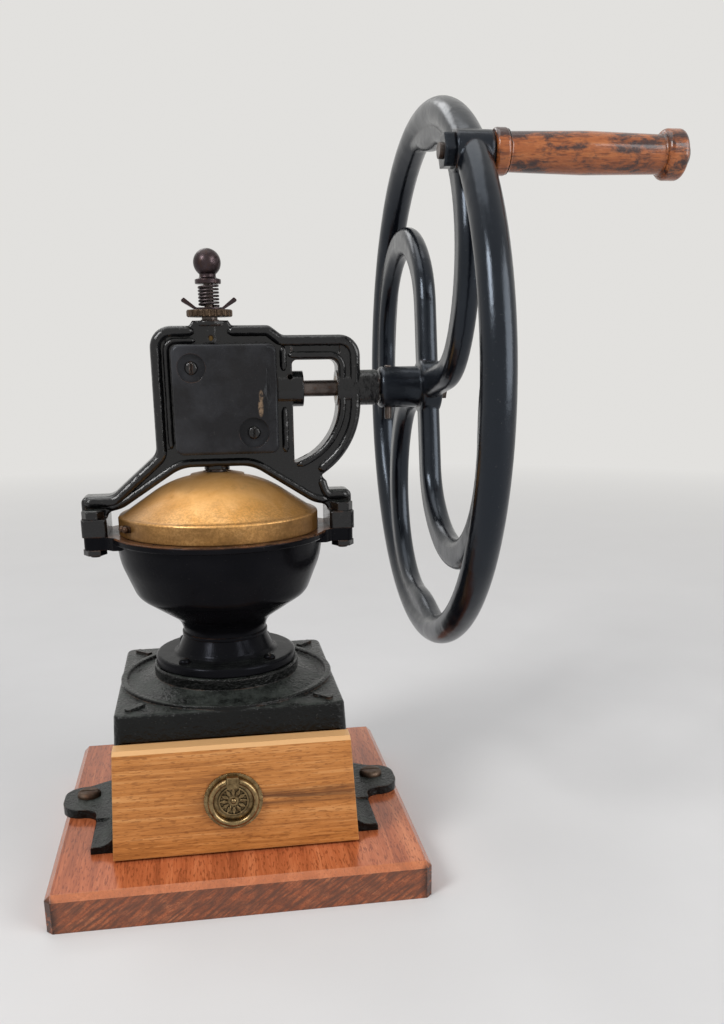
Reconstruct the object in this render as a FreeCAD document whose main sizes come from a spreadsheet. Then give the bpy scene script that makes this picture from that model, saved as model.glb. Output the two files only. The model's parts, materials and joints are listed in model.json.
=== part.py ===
# Manual coffee grinder with a side flywheel: board, cast base with a drawer, hopper, gear frame.
# Millimetres. Origin at the centre of the board's underside, +X along the axle to the flywheel,
# +Y to the rear, +Z up. Pieces on the mill's axis are drawn about it and placed at mill_x, mill_y.

import FreeCAD
import Part
import Sketcher
import math
import os

from FreeCAD import Placement, Rotation, Vector

# Angles in degrees and counts of equal sides.
FULL_TURN = 360
HALF_TURN = 180
RIGHT_ANGLE = 90
HEX_SIDES = 6
QUARTERS = 4
# How far a cut runs, in thicknesses of what it cuts: well through, and just past the far face.
THROUGH = 3
PAST = 1.5
# Shares of a size that small roundings, slots and steps beside it take.
NEARLY = 0.9
MOST = 0.8
OVER_HALF = 0.6
UNDER_HALF = 0.4
SLIGHT = 0.15
# Two places closer than this are the same, and directions closer than the smaller one.
NEAR = 1e-3
TINY = 1e-6
# A sketch's own origin, the two ends of a line or arc, and a circle's centre.
ORIGIN = (-1, 1)
START = 1
END = 2
CENTRE = 3

# Driving sizes: millimetres, degrees and counts.
SIZES = {
    # Board.
    "board_width": 226.0,
    "board_depth": 228.0,
    "board_height": 23.3,
    "board_chamfer": 3.5,
    "mill_x": -1.5,
    "mill_y": 6.5,
    # Cast base.
    "base_height": 87.2,
    "base_half": 70.0,
    "base_flare": 4.83,
    "base_wall": 5.0,
    "base_deck": 6.0,
    "base_corner": 6.0,
    "base_round": 2.5,
    "mouth_height": 70.2,
    "foot_reach": 89.5,
    "foot_tip": 4.8,
    "foot_rise": 19.0,
    "foot_sweep": 12.0,
    "foot_front": 73.6,
    "foot_rear": 16.0,
    "ear_reach": 113.0,
    "ear_front": 22.5,
    "ear_rear": 14.0,
    "ear_waist": 98.0,
    "ear_sweep": 14.0,
    "ear_root": 9.5,
    "ear_round": 13.0,
    "ear_thickness": 6.0,
    "ear_screw": 97.0,
    "ring_radius": 69.7,
    "ring_width": 3.9,
    "ring_height": 2.3,
    "ring_round": 1.1,
    "cone_radius": 62.0,
    "cone_height": 4.3,
    "plinth_radius": 47.5,
    "plinth_height": 11.5,
    "chute_radius": 20.0,
    "bar_start": 75.0,
    "bar_end": 88.5,
    "bar_width": 4.5,
    "bar_height": 1.5,
    # Screws that hold the base to the board.
    "base_screw_shank": 2.8,
    "base_screw_length": 18.0,
    "base_screw_head": 7.8,
    "base_screw_rise": 3.6,
    "slot_width": 1.4,
    "slot_depth": 1.2,
    # Hopper.
    "hopper_height": 88.0,
    "flange_radius": 46.0,
    "flange_thickness": 6.5,
    "flange_round": 2.2,
    "foot_ring_radius": 33.5,
    "foot_ring_height": 9.2,
    "neck_radius": 26.8,
    "bead_radius": 27.9,
    "bead_low": 18.6,
    "bead_high": 20.6,
    "collar_radius": 27.0,
    "collar_height": 27.8,
    "collar_sweep": 13.0,
    "bowl_turn_radius": 55.1,
    "bowl_turn_height": 46.7,
    "bowl_turn_sweep": 14.0,
    "bowl_side_radius": 63.8,
    "bowl_side_height": 68.5,
    "bowl_side_sweep": 40.0,
    "rim_throat": 66.3,
    "rim_radius": 70.1,
    "rim_thickness": 4.2,
    "rim_round": 1.1,
    "throat_radius": 61.0,
    "bowl_wall": 4.5,
    "bowl_floor_turn": 4.2,
    "bowl_floor_height": 29.5,
    "neck_bore": 21.5,
    "seat_bore": 18.4,
    "seat_height": 3.0,
    "lug_reach": 84.2,
    "lug_half": 20.0,
    "lug_thickness": 8.0,
    "lug_round": 4.0,
    "foot_screw_circle": 38.5,
    "foot_screw_head": 3.6,
    "foot_screw_rise": 2.6,
    "foot_screw_shank": 1.8,
    "foot_screw_length": 14.0,
    # Burrs.
    "burr_height": 22.0,
    "burr_top_bore": 19.2,
    "burr_low_bore": 15.8,
    "cone_top_radius": 8.5,
    "cone_low_radius": 15.0,
    "cone_rise": 20.0,
    "cone_lift": 4.5,
    "groove_count": 12,
    "groove_depth": 1.6,
    "groove_half": 1.7,
    # Spindle and its lower support.
    "spindle_radius": 5.5,
    "journal_radius": 5.0,
    "journal_top": 109.0,
    "screw_radius": 4.8,
    "screw_drop": 0.6,
    "core_radius": 2.9,
    "core_top": 368.0,
    "running_gap": 0.05,
    "bridge_length": 66.0,
    "bridge_width": 13.0,
    "bridge_thickness": 5.5,
    "bridge_boss": 9.0,
    "bridge_boss_drop": 1.5,
    "bridge_screw_place": 27.0,
    "bridge_screw_shank": 1.7,
    "bridge_screw_head": 3.4,
    "bridge_screw_rise": 1.6,
    "bridge_screw_grip": 4.0,
    # Gear frame, heights above its feet.
    "frame_reach": 85.0,
    "foot_inner": 69.4,
    "foot_block_half": 20.0,
    "foot_block_height": 10.8,
    "frame_half": 8.0,
    "web_round": 1.8,
    "bead_depth": 1.4,
    "arm_top": 23.6,
    "arm_inner": 66.0,
    "tower_left": 37.0,
    "tower_turn": 48.8,
    "tower_top": 125.4,
    "tower_corner": 13.0,
    "tower_round": 10.0,
    "arch_round": 25.0,
    "cap_half": 10.8,
    "cap_top": 128.3,
    "bracket_drop": 119.4,
    "bracket_start": 43.5,
    "bracket_reach": 92.0,
    "bracket_round": 13.0,
    "brace_x": 39.5,
    "brace_height": 78.0,
    "brace_outer": 52.5,
    "brace_outer_turn": 56.0,
    "brace_inner_turn": 72.0,
    "brace_inner": 38.2,
    "arch_foot": 13.5,
    "arch_turn": 60.0,
    "arch_turn_height": 15.5,
    "arch_top_turn": 22.0,
    "arch_top": 40.0,
    "chamber_left": -22.0,
    "chamber_right": 35.3,
    "chamber_low": 51.5,
    "chamber_high": 112.5,
    "window_left": 48.9,
    "window_high": 104.5,
    "column_radius": 8.6,
    "column_low": 114.9,
    "boss_radius": 8.0,
    "boss_low": 37.8,
    "spindle_hole": 6.1,
    "top_bush_radius": 7.2,
    "axle_rise": 86.8,
    "block_radius": 11.0,
    "inner_block_start": 39.2,
    "inner_block_end": 55.9,
    "outer_block_start": 77.1,
    "outer_block_end": 103.5,
    "axle_bush_radius": 7.5,
    "oil_hole": 1.5,
    "oil_rise": 3.0,
    "pillar_radius": 5.0,
    "pillar_half": 16.0,
    "pillar_high_x": -12.9,
    "pillar_high_z": 100.6,
    "pillar_low_x": 23.5,
    "pillar_low_z": 61.5,
    "pillar_web": 4.5,
    "frame_bolt_x": 78.0,
    "frame_bolt_y": 14.0,
    "frame_bolt_shank": 3.0,
    "frame_bolt_flats": 5.8,
    "frame_bolt_head": 5.6,
    "frame_bolt_dome": 1.4,
    "frame_nut_flats": 6.2,
    "frame_nut_height": 3.5,
    # Gear covers.
    "cover_left": -24.7,
    "cover_right": 38.8,
    "cover_low": 48.6,
    "cover_high": 114.5,
    "cover_depth": 12.0,
    "cover_sheet": 1.0,
    "cover_corner": 5.0,
    "cover_round": 2.6,
    "dish_depth": 3.0,
    "dish_high": 8.5,
    "dish_low": 9.2,
    "cover_screw_head": 4.0,
    "cover_screw_rise": 2.2,
    "cover_screw_shank": 1.9,
    "cover_screw_length": 9.0,
    # Bevel gears.
    "gear_teeth": 20,
    "gear_radius": 16.5,
    "gear_face": 8.0,
    "tooth_above": 1.2,
    "tooth_below": 1.9,
    "tooth_half": 1.08,
    "tooth_slope": 0.4,
    "gear_back": 2.6,
    "gear_hub": 9.5,
    "spindle_hub_end": 33.0,
    "axle_hub_end": 34.6,
    "gear_pin_radius": 1.5,
    # Axle, hub and flywheel.
    "axle_radius": 5.0,
    "axle_start": 12.4,
    "wheel_x": 135.5,
    "wheel_radius": 157.0,
    "rim_tube": 9.3,
    "spoke_half_axial": 6.3,
    "spoke_half_plane": 9.2,
    "hub_radius": 12.8,
    "hub_start": -32.2,
    "hub_end": 6.6,
    "hub_boss": 17.0,
    "hub_boss_half": 6.6,
    "spoke_angle": 80.0,
    "spoke_straight": 50.0,
    "spoke_bend": 45.0,
    "spoke_bend_turn": 36.0,
    "spoke_sweep": 73.5,
    "spoke_merge": 120.0,
    "spoke_merge_turn": 14.0,
    "hub_pin_place": 109.5,
    "hub_pin_radius": 2.2,
    "hub_pin_drop": 20.0,
    "hub_pin_rise": 13.6,
    "axle_nut_flats": 7.5,
    "axle_nut_height": 3.6,
    "axle_washer_radius": 9.5,
    "axle_washer_thickness": 1.0,
    "axle_tip": 1.0,
    # Handle on the flywheel's rim.
    "handle_angle": 128.9,
    "handle_boss": 10.4,
    "handle_boss_half": 9.7,
    "handle_bolt": 4.0,
    "handle_nut_flats": 8.0,
    "handle_nut_height": 6.0,
    "handle_washer": 9.0,
    "handle_washer_thickness": 1.0,
    "handle_gap": 0.3,
    "grip_length": 104.5,
    "grip_bore_gap": 0.1,
    "grip_bead": 11.6,
    "grip_bead_length": 7.6,
    "grip_waist": 9.8,
    "grip_belly": 10.7,
    "grip_end_bead": 12.8,
    "grip_end_length": 12.0,
    "handle_head": 7.0,
    "handle_head_rise": 2.6,
    # Adjuster above the frame.
    "disc_lift": 2.2,
    "disc_radius": 14.0,
    "disc_thickness": 4.3,
    "notch_count": 24,
    "notch_radius": 0.9,
    "wing_thickness": 1.2,
    "wing_inner": 8.6,
    "wing_tip": 17.3,
    "wing_rise": 5.2,
    "wing_half": 4.5,
    "wing_sheet": 2.2,
    "spring_mean": 5.75,
    "spring_wire": 1.4,
    "spring_turns": 6,
    "spring_pitch": 1.95,
    "spring_gap": 0.3,
    "knob_collar": 7.9,
    "knob_collar_soft": 0.6,
    "knob_collar_height": 2.7,
    "knob_neck": 5.0,
    "knob_ball": 8.3,
    "knob_ball_height": 12.3,
    # Lid.
    "lid_radius": 63.2,
    "lid_band": 10.8,
    "lid_shoulder": 60.2,
    "lid_shoulder_rise": 11.4,
    "lid_crown": 31.5,
    "lid_crown_rise": 30.8,
    "lid_top": 7.0,
    "lid_top_rise": 36.0,
    "lid_sheet": 0.8,
    "lid_crown_sweep": 60.0,
    "lid_shoulder_sweep": 5.0,
    "lid_edge_round": 1.3,
    "lid_opening": 60.0,
    "door_half_angle": 70.0,
    "lid_rise_share": 1.2,
    "lid_opening_ring": 20.0,
    "lid_opening_lip": 3.0,
    "door_angle": 262.0,
    "door_gap": 0.35,
    "door_sheet": 0.6,
    "door_foot": 0.5,
    "door_ring": 17.0,
    "door_ring_bore": 9.2,
    "lid_knob_rise": 6.6,
    "lid_knob_ball": 2.1,
    "lid_knob_spread": 2.3,
    "lid_knob_plate": 0.9,
    "lid_knob_turn": -53.0,
    # Drawer.
    "drawer_front_gap": 0.3,
    "drawer_front_thickness": 12.3,
    "drawer_front_top": 69.6,
    "drawer_front_low": 1.6,
    "drawer_overhang": 0.2,
    "drawer_bevel": 2.2,
    "drawer_side_gap": 2.0,
    "drawer_board": 7.0,
    "drawer_back_board": 6.0,
    "drawer_clearance": 0.3,
    "drawer_side_height": 58.0,
    "drawer_back_gap": 4.0,
    "drawer_floor": 3.0,
    "drawer_floor_lift": 4.0,
    # Ring pull on the drawer front.
    "pull_x": -1.4,
    "pull_z": 34.6,
    "plate_radius": 17.8,
    "plate_thickness": 1.4,
    "plate_teeth": 60,
    "plate_tooth": 0.35,
    "rosette_radius": 9.2,
    "rosette_rise": 0.7,
    "petal_count": 12,
    "petal_start": 3.2,
    "petal_half": 1.2,
    "petal_rise": 0.6,
    "petal_end": 8.2,
    "rosette_boss": 1.9,
    "rosette_boss_rise": 1.5,
    "ring_centre_radius": 13.6,
    "ring_tube": 1.9,
    "ring_stand": 3.7,
    "ring_side_gap": 0.3,
    "hinge_height": 12.9,
    "hinge_bar": 1.2,
    "holder_half_width": 3.6,
    "holder_height": 7.2,
    "holder_wall": 1.4,
    "pull_screw_radius": 1.3,
    "pull_screw_length": 9.0,
}


class Size:
    """A size as expression text for the sheet, with its present value."""

    def __init__(self, text, value):
        self.text = text
        self.value = float(value)

    def __add__(self, other):
        other = as_size(other)
        return Size(f"({self.text} + {other.text})", self.value + other.value)

    def __sub__(self, other):
        other = as_size(other)
        return Size(f"({self.text} - {other.text})", self.value - other.value)

    def __mul__(self, other):
        other = as_size(other)
        return Size(f"({self.text} * {other.text})", self.value * other.value)

    def __truediv__(self, other):
        other = as_size(other)
        return Size(f"({self.text} / {other.text})", self.value / other.value)

    def __radd__(self, other):
        return as_size(other) + self

    def __rsub__(self, other):
        return as_size(other) - self

    def __rmul__(self, other):
        return as_size(other) * self

    def __neg__(self):
        return Size(f"(0 - {self.text})", -self.value)


class Sheet:
    """The spreadsheet of driving sizes; sheet.name gives the Size called name."""

    def __init__(self, doc, sizes):
        self.sizes = sizes
        cells = doc.addObject("Spreadsheet::Sheet", "dims")
        for row, (name, value) in enumerate(sizes.items(), start=1):
            cells.set(f"A{row}", name)
            cells.set(f"B{row}", str(value))
            cells.setAlias(f"B{row}", name)

    def __getattr__(self, name):
        return Size(f"dims.{name}", self.sizes[name])


def as_size(number):
    """A plain number as a Size."""
    if isinstance(number, Size):
        return number
    return Size(repr(float(number)), number)


def sine(angle):
    """Sine of a Size in degrees."""
    return Size(f"sin({angle.text})", math.sin(math.radians(angle.value)))


def cosine(angle):
    """Cosine of a Size in degrees."""
    return Size(f"cos({angle.text})", math.cos(math.radians(angle.value)))


def tangent(angle):
    """Tangent of a Size in degrees."""
    return Size(f"tan({angle.text})", math.tan(math.radians(angle.value)))


def root(size):
    """Square root of a Size."""
    return Size(f"sqrt({size.text})", math.sqrt(size.value))


def bind(item, path, size):
    """Let a property follow the sheet."""
    item.setExpression(path, size.text)


def role(body, name):
    """One of a body's own origin planes or axes."""
    return next(part for part in body.Origin.OriginFeatures if part.Role == name)


def new_body(doc, name, place=(0, 0, 0)):
    """An empty body whose place follows the sheet."""
    body = doc.addObject("PartDesign::Body", name)
    body.Label = name
    put(body, place)
    return body


def put(item, place, rotation=None):
    """Place an object, each coordinate following the sheet."""
    spot = [as_size(value) for value in place]
    turn = rotation or Rotation()
    item.Placement = Placement(Vector(*[value.value for value in spot]), turn)
    for axis, value in zip("xyz", spot):
        if "dims" in value.text:
            bind(item, f"Placement.Base.{axis}", value)


def fix(rules, kind, value, *where):
    """Note one dimension of a sketch with the size that it follows."""
    size = as_size(value)
    rules.append((Sketcher.Constraint(kind, *where, size.value), size))


def tie(rules, kind, *where):
    """Note one geometric constraint of a sketch."""
    rules.append((Sketcher.Constraint(kind, *where), as_size(0)))


def settle(sketch, rules):
    """Give a sketch all its constraints and let its dimensions follow the sheet."""
    first = len(sketch.Constraints)
    sketch.addConstraint([rule for rule, size in rules])
    for index, (rule, size) in enumerate(rules, start=first):
        if "dims" in size.text:
            bind(sketch, f"Constraints[{index}]", size)


def blend(before, corner, after, radius):
    """Start, middle, end and centre direction of the arc that rounds a corner."""
    back = (before - corner).normalize()
    ahead = (after - corner).normalize()
    half = back.getAngle(ahead) / 2
    middle = (back + ahead).normalize()
    reach = radius / math.tan(half)
    depth = radius / math.sin(half) - radius
    return corner + back * reach, corner + middle * depth, corner + ahead * reach


def add_outline(sketch, rules, corners, closed=True):
    """Straight lines through corners (x, y) or rounded corners (x, y, radius)."""
    spots = [Vector(as_size(c[0]).value, as_size(c[1]).value, 0) for c in corners]
    count = len(spots)
    ends = {}
    arcs = {}
    for index, corner in enumerate(corners):
        ends[index] = (spots[index], spots[index])
        if len(corner) > 2:
            before = spots[index - 1]
            after = spots[(index + 1) % count]
            arcs[index] = blend(before, spots[index], after, as_size(corner[2]).value)
            ends[index] = (arcs[index][0], arcs[index][2])
    lines = {}
    for index in range(count if closed else count - 1):
        after = (index + 1) % count
        lines[index] = sketch.addGeometry(Part.LineSegment(ends[index][1], ends[after][0]))
    for index, corner in enumerate(corners):
        before = (index - 1) % count
        if index in arcs:
            round_corner(sketch, rules, arcs[index], lines[before], lines[index], corner)
            continue
        line, end = (lines[index], START) if index in lines else (lines[before], END)
        if index in lines and before in lines:
            tie(rules, "Coincident", lines[before], END, line, end)
        fix(rules, "DistanceX", corner[0], *ORIGIN, line, end)
        fix(rules, "DistanceY", corner[1], *ORIGIN, line, end)


def arc_start(sketch, arc, point):
    """Which end of a sketch's arc lies at a point, 1 for its start and 2 for its end."""
    return START if (sketch.getPoint(arc, START) - point).Length < TINY else END


def round_corner(sketch, rules, arc, before, after, corner):
    """Join two lines by a tangent arc about a fixed corner point."""
    bend = sketch.addGeometry(Part.ArcOfCircle(*arc))
    first = arc_start(sketch, bend, arc[0])
    spot = Vector(as_size(corner[0]).value, as_size(corner[1]).value, 0)
    point = sketch.addGeometry(Part.Point(spot), True)
    tie(rules, "Tangent", before, END, bend, first)
    tie(rules, "Tangent", bend, START + END - first, after, START)
    tie(rules, "PointOnObject", point, START, before)
    tie(rules, "PointOnObject", point, START, after)
    fix(rules, "DistanceX", corner[0], *ORIGIN, point, START)
    fix(rules, "DistanceY", corner[1], *ORIGIN, point, START)
    fix(rules, "Radius", corner[2], bend)


def add_circle(sketch, rules, x, y, radius):
    """A circle about (x, y)."""
    centre = Vector(as_size(x).value, as_size(y).value, 0)
    circle = sketch.addGeometry(Part.Circle(centre, Vector(0, 0, 1), as_size(radius).value))
    fix(rules, "DistanceX", x, *ORIGIN, circle, CENTRE)
    fix(rules, "DistanceY", y, *ORIGIN, circle, CENTRE)
    fix(rules, "Radius", radius, circle)


def draw(body, name, plane, outlines=(), circles=(), shift=(0, 0, 0), turn=None, closed=True):
    """A sketch on one of the body's origin planes, shifted in that plane's own axes."""
    sketch = body.newObject("Sketcher::SketchObject", f"{body.Name}_{name}")
    sketch.AttachmentSupport = [(role(body, plane), "")]
    sketch.MapMode = "FlatFace"
    spot = [as_size(value) for value in shift]
    base = Vector(*[value.value for value in spot])
    sketch.AttachmentOffset = Placement(base, turn or Rotation())
    for axis, value in zip("xyz", spot):
        if "dims" in value.text:
            bind(sketch, f"AttachmentOffset.Base.{axis}", value)
    rules = []
    for corners in outlines:
        add_outline(sketch, rules, corners, closed)
    for circle in circles:
        add_circle(sketch, rules, *circle)
    settle(sketch, rules)
    sketch.Visibility = False
    return sketch


def extrude(kind, body, name, sketch, length, both=False, back=False):
    """A pad or pocket of a sketch."""
    item = body.newObject(f"PartDesign::{kind}", f"{body.Name}_{name}")
    item.Profile = sketch
    size = as_size(length)
    item.Length = size.value
    if "dims" in size.text:
        bind(item, "Length", size)
    item.Midplane = both
    item.Reversed = back
    body.Document.recompute()
    return item


def pad(body, name, sketch, length, both=False, back=False):
    """Add material by extruding a sketch."""
    return extrude("Pad", body, name, sketch, length, both, back)


def pocket(body, name, sketch, length, both=False, back=False):
    """Cut material by extruding a sketch."""
    return extrude("Pocket", body, name, sketch, length, both, back)


def spin(kind, body, name, sketch, axis, angle=FULL_TURN):
    """A turn of a sketch about its own vertical or horizontal axis, even about its plane."""
    item = body.newObject(f"PartDesign::{kind}", f"{body.Name}_{name}")
    item.Profile = sketch
    item.ReferenceAxis = (sketch, [axis])
    size = as_size(angle)
    item.Midplane = size.value < FULL_TURN
    item.Angle = size.value
    if "dims" in size.text:
        bind(item, "Angle", size)
    body.Document.recompute()
    return item


def revolve(body, name, outline, plane="XZ_Plane", axis="V_Axis", shift=(0, 0, 0), angle=FULL_TURN):
    """Add a turned shape."""
    sketch = draw(body, f"{name}_outline", plane, [outline], shift=shift)
    return spin("Revolution", body, name, sketch, axis, angle)


def groove(body, name, outline, plane="XZ_Plane", axis="V_Axis", shift=(0, 0, 0)):
    """Cut a turned shape."""
    sketch = draw(body, f"{name}_outline", plane, [outline], shift=shift)
    return spin("Groove", body, name, sketch, axis)


def loft(kind, body, name, first, second):
    """A straight loft between two sketches."""
    item = body.newObject(f"PartDesign::{kind}Loft", f"{body.Name}_{name}")
    item.Profile = first
    item.Sections = [second]
    item.Ruled = True
    body.Document.recompute()
    return item


def dress(kind, body, name, radius, chosen):
    """Fillet or chamfer the tip's edges that a test picks."""
    tip = body.Tip
    edges = [f"Edge{i}" for i, edge in enumerate(tip.Shape.Edges, start=1) if chosen(edge)]
    item = body.newObject(f"PartDesign::{kind}", f"{body.Name}_{name}")
    item.Base = (tip, edges)
    path = "Radius" if kind == "Fillet" else "Size"
    size = as_size(radius)
    setattr(item, path, size.value)
    if "dims" in size.text:
        bind(item, path, size)
    body.Document.recompute()
    return item


def shell(body, name, thickness, opened):
    """Hollow the tip to a sheet inside its faces, open at the faces that a test picks."""
    tip = body.Tip
    faces = [f"Face{i}" for i, face in enumerate(tip.Shape.Faces, start=1) if opened(face)]
    item = body.newObject("PartDesign::Thickness", f"{body.Name}_{name}")
    item.Base = (tip, faces)
    item.Reversed = True
    item.Value = thickness.value
    bind(item, "Value", thickness)
    body.Document.recompute()
    return item


def polar(body, name, items, count, axis="Z_Axis"):
    """Copy features evenly about one of the body's axes."""
    item = body.newObject("PartDesign::PolarPattern", f"{body.Name}_{name}")
    item.Originals = items
    item.Axis = (role(body, axis), [""])
    item.Angle = FULL_TURN
    size = as_size(count)
    item.Occurrences = int(size.value)
    if "dims" in size.text:
        bind(item, "Occurrences", size)
    body.Tip = item
    body.Document.recompute()
    return item


def row(body, name, items, length, axis):
    """A second copy of features at a distance along one of the body's axes."""
    item = body.newObject("PartDesign::LinearPattern", f"{body.Name}_{name}")
    item.Originals = items
    item.Direction = (role(body, axis), [""])
    item.Occurrences = 2
    size = as_size(length)
    item.Length = size.value
    if "dims" in size.text:
        bind(item, "Length", size)
    body.Tip = item
    body.Document.recompute()
    return item


def mirror(body, name, items, plane="YZ_Plane"):
    """Mirror features over one of the body's planes."""
    item = body.newObject("PartDesign::Mirrored", f"{body.Name}_{name}")
    item.Originals = items
    item.MirrorPlane = (role(body, plane), [""])
    body.Tip = item
    body.Document.recompute()
    return item


def rectangle(half_x, half_y, radius=None):
    """Corners of a rectangle centred on the sketch's origin, sharp or rounded."""
    extra = () if radius is None else (radius,)
    half_x = as_size(half_x)
    half_y = as_size(half_y)
    signs = [(-1, -1), (1, -1), (1, 1), (-1, 1)]
    return [(half_x * sx, half_y * sy) + extra for sx, sy in signs]


def box_outline(left, low, right, high, radius=None):
    """Corners of a rectangle from its sides, sharp or rounded."""
    extra = () if radius is None else (radius,)
    corners = [(left, low), (right, low), (right, high), (left, high)]
    return [corner + extra for corner in corners]


def hexagon(flats, x=0, y=0):
    """Corners of a hexagon with two flats square to the sketch's vertical axis."""
    half = as_size(flats)
    side = FULL_TURN / HEX_SIDES
    corner = half / cosine(as_size(side / 2))
    spots = []
    for step in range(HEX_SIDES):
        angle = math.radians(side * step)
        spots.append((x + corner * math.cos(angle), y + corner * math.sin(angle)))
    return spots


def all_points(edge, test):
    """Whether a test holds at an edge's ends and middle."""
    first, last = edge.ParameterRange
    marks = [first, (first + last) / 2, last]
    return all(test(edge.valueAt(mark)) for mark in marks)


# Heights of the main levels above the table.

def deck_level(d):
    """Top of the cast base's deck."""
    return d.board_height + d.base_height


def hopper_level(d):
    """Top of the plinth, where the hopper's flange sits."""
    return deck_level(d) + d.plinth_height


def frame_level(d):
    """Top of the hopper's rim and lugs, where the gear frame stands."""
    return hopper_level(d) + d.hopper_height


def axle_level(d):
    """Height of the axle."""
    return frame_level(d) + d.axle_rise


def flank(d, height):
    """Half-width of the flared base at a height above the board."""
    return d.base_half + d.base_flare * (1 - as_size(height) / d.base_height)


def mill_body(doc, d, name):
    """An empty body placed on the mill's axis, with heights counted from the table."""
    return new_body(doc, name, (d.mill_x, d.mill_y, 0))


# Board and base.

def base_board(doc, d):
    """Wooden board with chamfered edges and pilot holes for the base's screws."""
    body = new_body(doc, "base_board")
    outline = draw(body, "outline", "XY_Plane", [rectangle(d.board_width / 2, d.board_depth / 2)])
    pad(body, "slab", outline, d.board_height)
    dress("Chamfer", body, "edges", d.board_chamfer,
          lambda edge: not all_points(edge, lambda p: p.z < NEAR))
    holes = [(d.mill_x + side * d.ear_screw, d.mill_y, d.base_screw_shank) for side in (-1, 1)]
    top = draw(body, "holes", "XY_Plane", circles=holes, shift=(0, 0, d.board_height))
    pocket(body, "pilots", top, d.base_screw_length - d.ear_thickness)
    return body


def base_casting(doc, d):
    """Flared cast box, open below and in front, with feet, deck ring and round plinth."""
    body = mill_body(doc, d, "base_casting")
    deck = deck_level(d)
    low = flank(d, 0)
    under = d.base_height - d.base_deck
    floor = draw(body, "floor", "XY_Plane", [rectangle(low, low, d.base_corner)],
                 shift=(0, 0, d.board_height))
    top = draw(body, "top", "XY_Plane", [rectangle(d.base_half, d.base_half, d.base_corner)],
               shift=(0, 0, deck))
    loft("Additive", body, "walls", floor, top)
    inner_low = low - d.base_wall
    inner_top = flank(d, under) - d.base_wall
    inner_floor = draw(body, "inner_floor", "XY_Plane", [rectangle(inner_low, inner_low)],
                       shift=(0, 0, d.board_height))
    inner_deck = draw(body, "inner_deck", "XY_Plane", [rectangle(inner_top, inner_top)],
                      shift=(0, 0, d.board_height + under))
    loft("Subtractive", body, "inside", inner_floor, inner_deck)
    mouth_top = flank(d, d.mouth_height) - d.base_wall
    lip = d.board_height + d.mouth_height
    mouth = [(-inner_low, d.board_height), (inner_low, d.board_height),
             (mouth_top, lip), (-mouth_top, lip)]
    mouth_sketch = draw(body, "mouth_outline", "XZ_Plane", [mouth], shift=(0, 0, low + d.base_wall))
    pocket(body, "mouth", mouth_sketch, d.base_wall * THROUGH)
    dress("Fillet", body, "deck_round", d.base_round,
          lambda edge: all_points(edge, lambda p: p.z > deck.value - NEAR))
    root_x = low - d.base_wall / 2
    foot = [(root_x, d.board_height),
            (d.foot_reach, d.board_height),
            (d.foot_reach, d.board_height + d.foot_tip, d.foot_tip / 3),
            (root_x + d.base_wall * UNDER_HALF, d.board_height + d.foot_tip, d.foot_sweep),
            (root_x + d.base_wall * SLIGHT, d.board_height + d.foot_rise),
            (root_x, d.board_height + d.foot_rise)]
    foot_sketch = draw(body, "foot_outline", "XZ_Plane", [foot], shift=(0, 0, d.foot_front))
    foot_pad = pad(body, "foot", foot_sketch, d.foot_front + d.foot_rear, back=True)
    front = d.ear_front + d.ear_root * PAST
    ear = [(low, -front), (d.foot_reach, -front),
           (d.foot_reach, -d.ear_front, d.ear_root), (d.ear_reach, -d.ear_front, d.ear_round),
           (d.ear_reach, d.ear_rear, d.ear_round), (d.ear_waist, d.ear_rear, d.ear_root),
           (low, d.ear_rear + d.ear_sweep)]
    ear_sketch = draw(body, "ear_outline", "XY_Plane", [ear], shift=(0, 0, d.board_height))
    ear_pad = pad(body, "ear", ear_sketch, d.ear_thickness)
    mirror(body, "far_foot", [foot_pad, ear_pad])
    step = d.plinth_height
    ring_in = d.ring_radius - d.ring_width
    crown = [(d.chute_radius, deck - d.base_deck / 2),
             (d.ring_radius, deck - d.base_deck / 2),
             (d.ring_radius, deck + d.ring_height, d.ring_round),
             (ring_in, deck + d.ring_height, d.ring_round),
             (ring_in - d.ring_round / 2, deck),
             (d.cone_radius, deck),
             (d.plinth_radius, deck + d.cone_height),
             (d.plinth_radius, deck + step, d.ring_round),
             (d.chute_radius, deck + step)]
    revolve(body, "crown", crown)
    bar = box_outline(d.bar_start, -d.bar_width / 2, d.bar_end, d.bar_width / 2, d.bar_width / QUARTERS)
    bar_sketch = draw(body, "bar_outline", "XY_Plane", [bar], shift=(0, 0, deck - d.bar_height),
                      turn=Rotation(Vector(0, 0, 1), RIGHT_ANGLE / 2))
    bar_pad = pad(body, "bar", bar_sketch, d.bar_height * 2)
    polar(body, "bars", [bar_pad], QUARTERS)
    chute = draw(body, "chute_outline", "XY_Plane", circles=[(0, 0, d.chute_radius)],
                 shift=(0, 0, deck + step))
    pocket(body, "chute", chute, step + d.base_deck * 2)
    holes = [(side * d.ear_screw, 0, d.base_screw_shank) for side in (-1, 1)]
    ears = draw(body, "ear_holes", "XY_Plane", circles=holes,
                shift=(0, 0, d.board_height + d.ear_thickness))
    pocket(body, "screw_holes", ears, d.ear_thickness + d.foot_tip)
    spots = [(side * d.bridge_screw_place, 0, d.bridge_screw_shank) for side in (-1, 1)]
    bridge = draw(body, "bridge_spots", "XY_Plane", circles=spots,
                  shift=(0, 0, d.board_height + under))
    pocket(body, "bridge_holes", bridge, d.bridge_screw_grip, back=True)
    foot_hole = draw(body, "flange_spot", "XY_Plane",
                     circles=[foot_screw_spot(d)], shift=(0, 0, deck + step))
    flange_hole = pocket(body, "flange_hole", foot_hole, d.foot_screw_length - d.flange_thickness)
    polar(body, "flange_holes", [flange_hole], QUARTERS)
    return body


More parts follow.
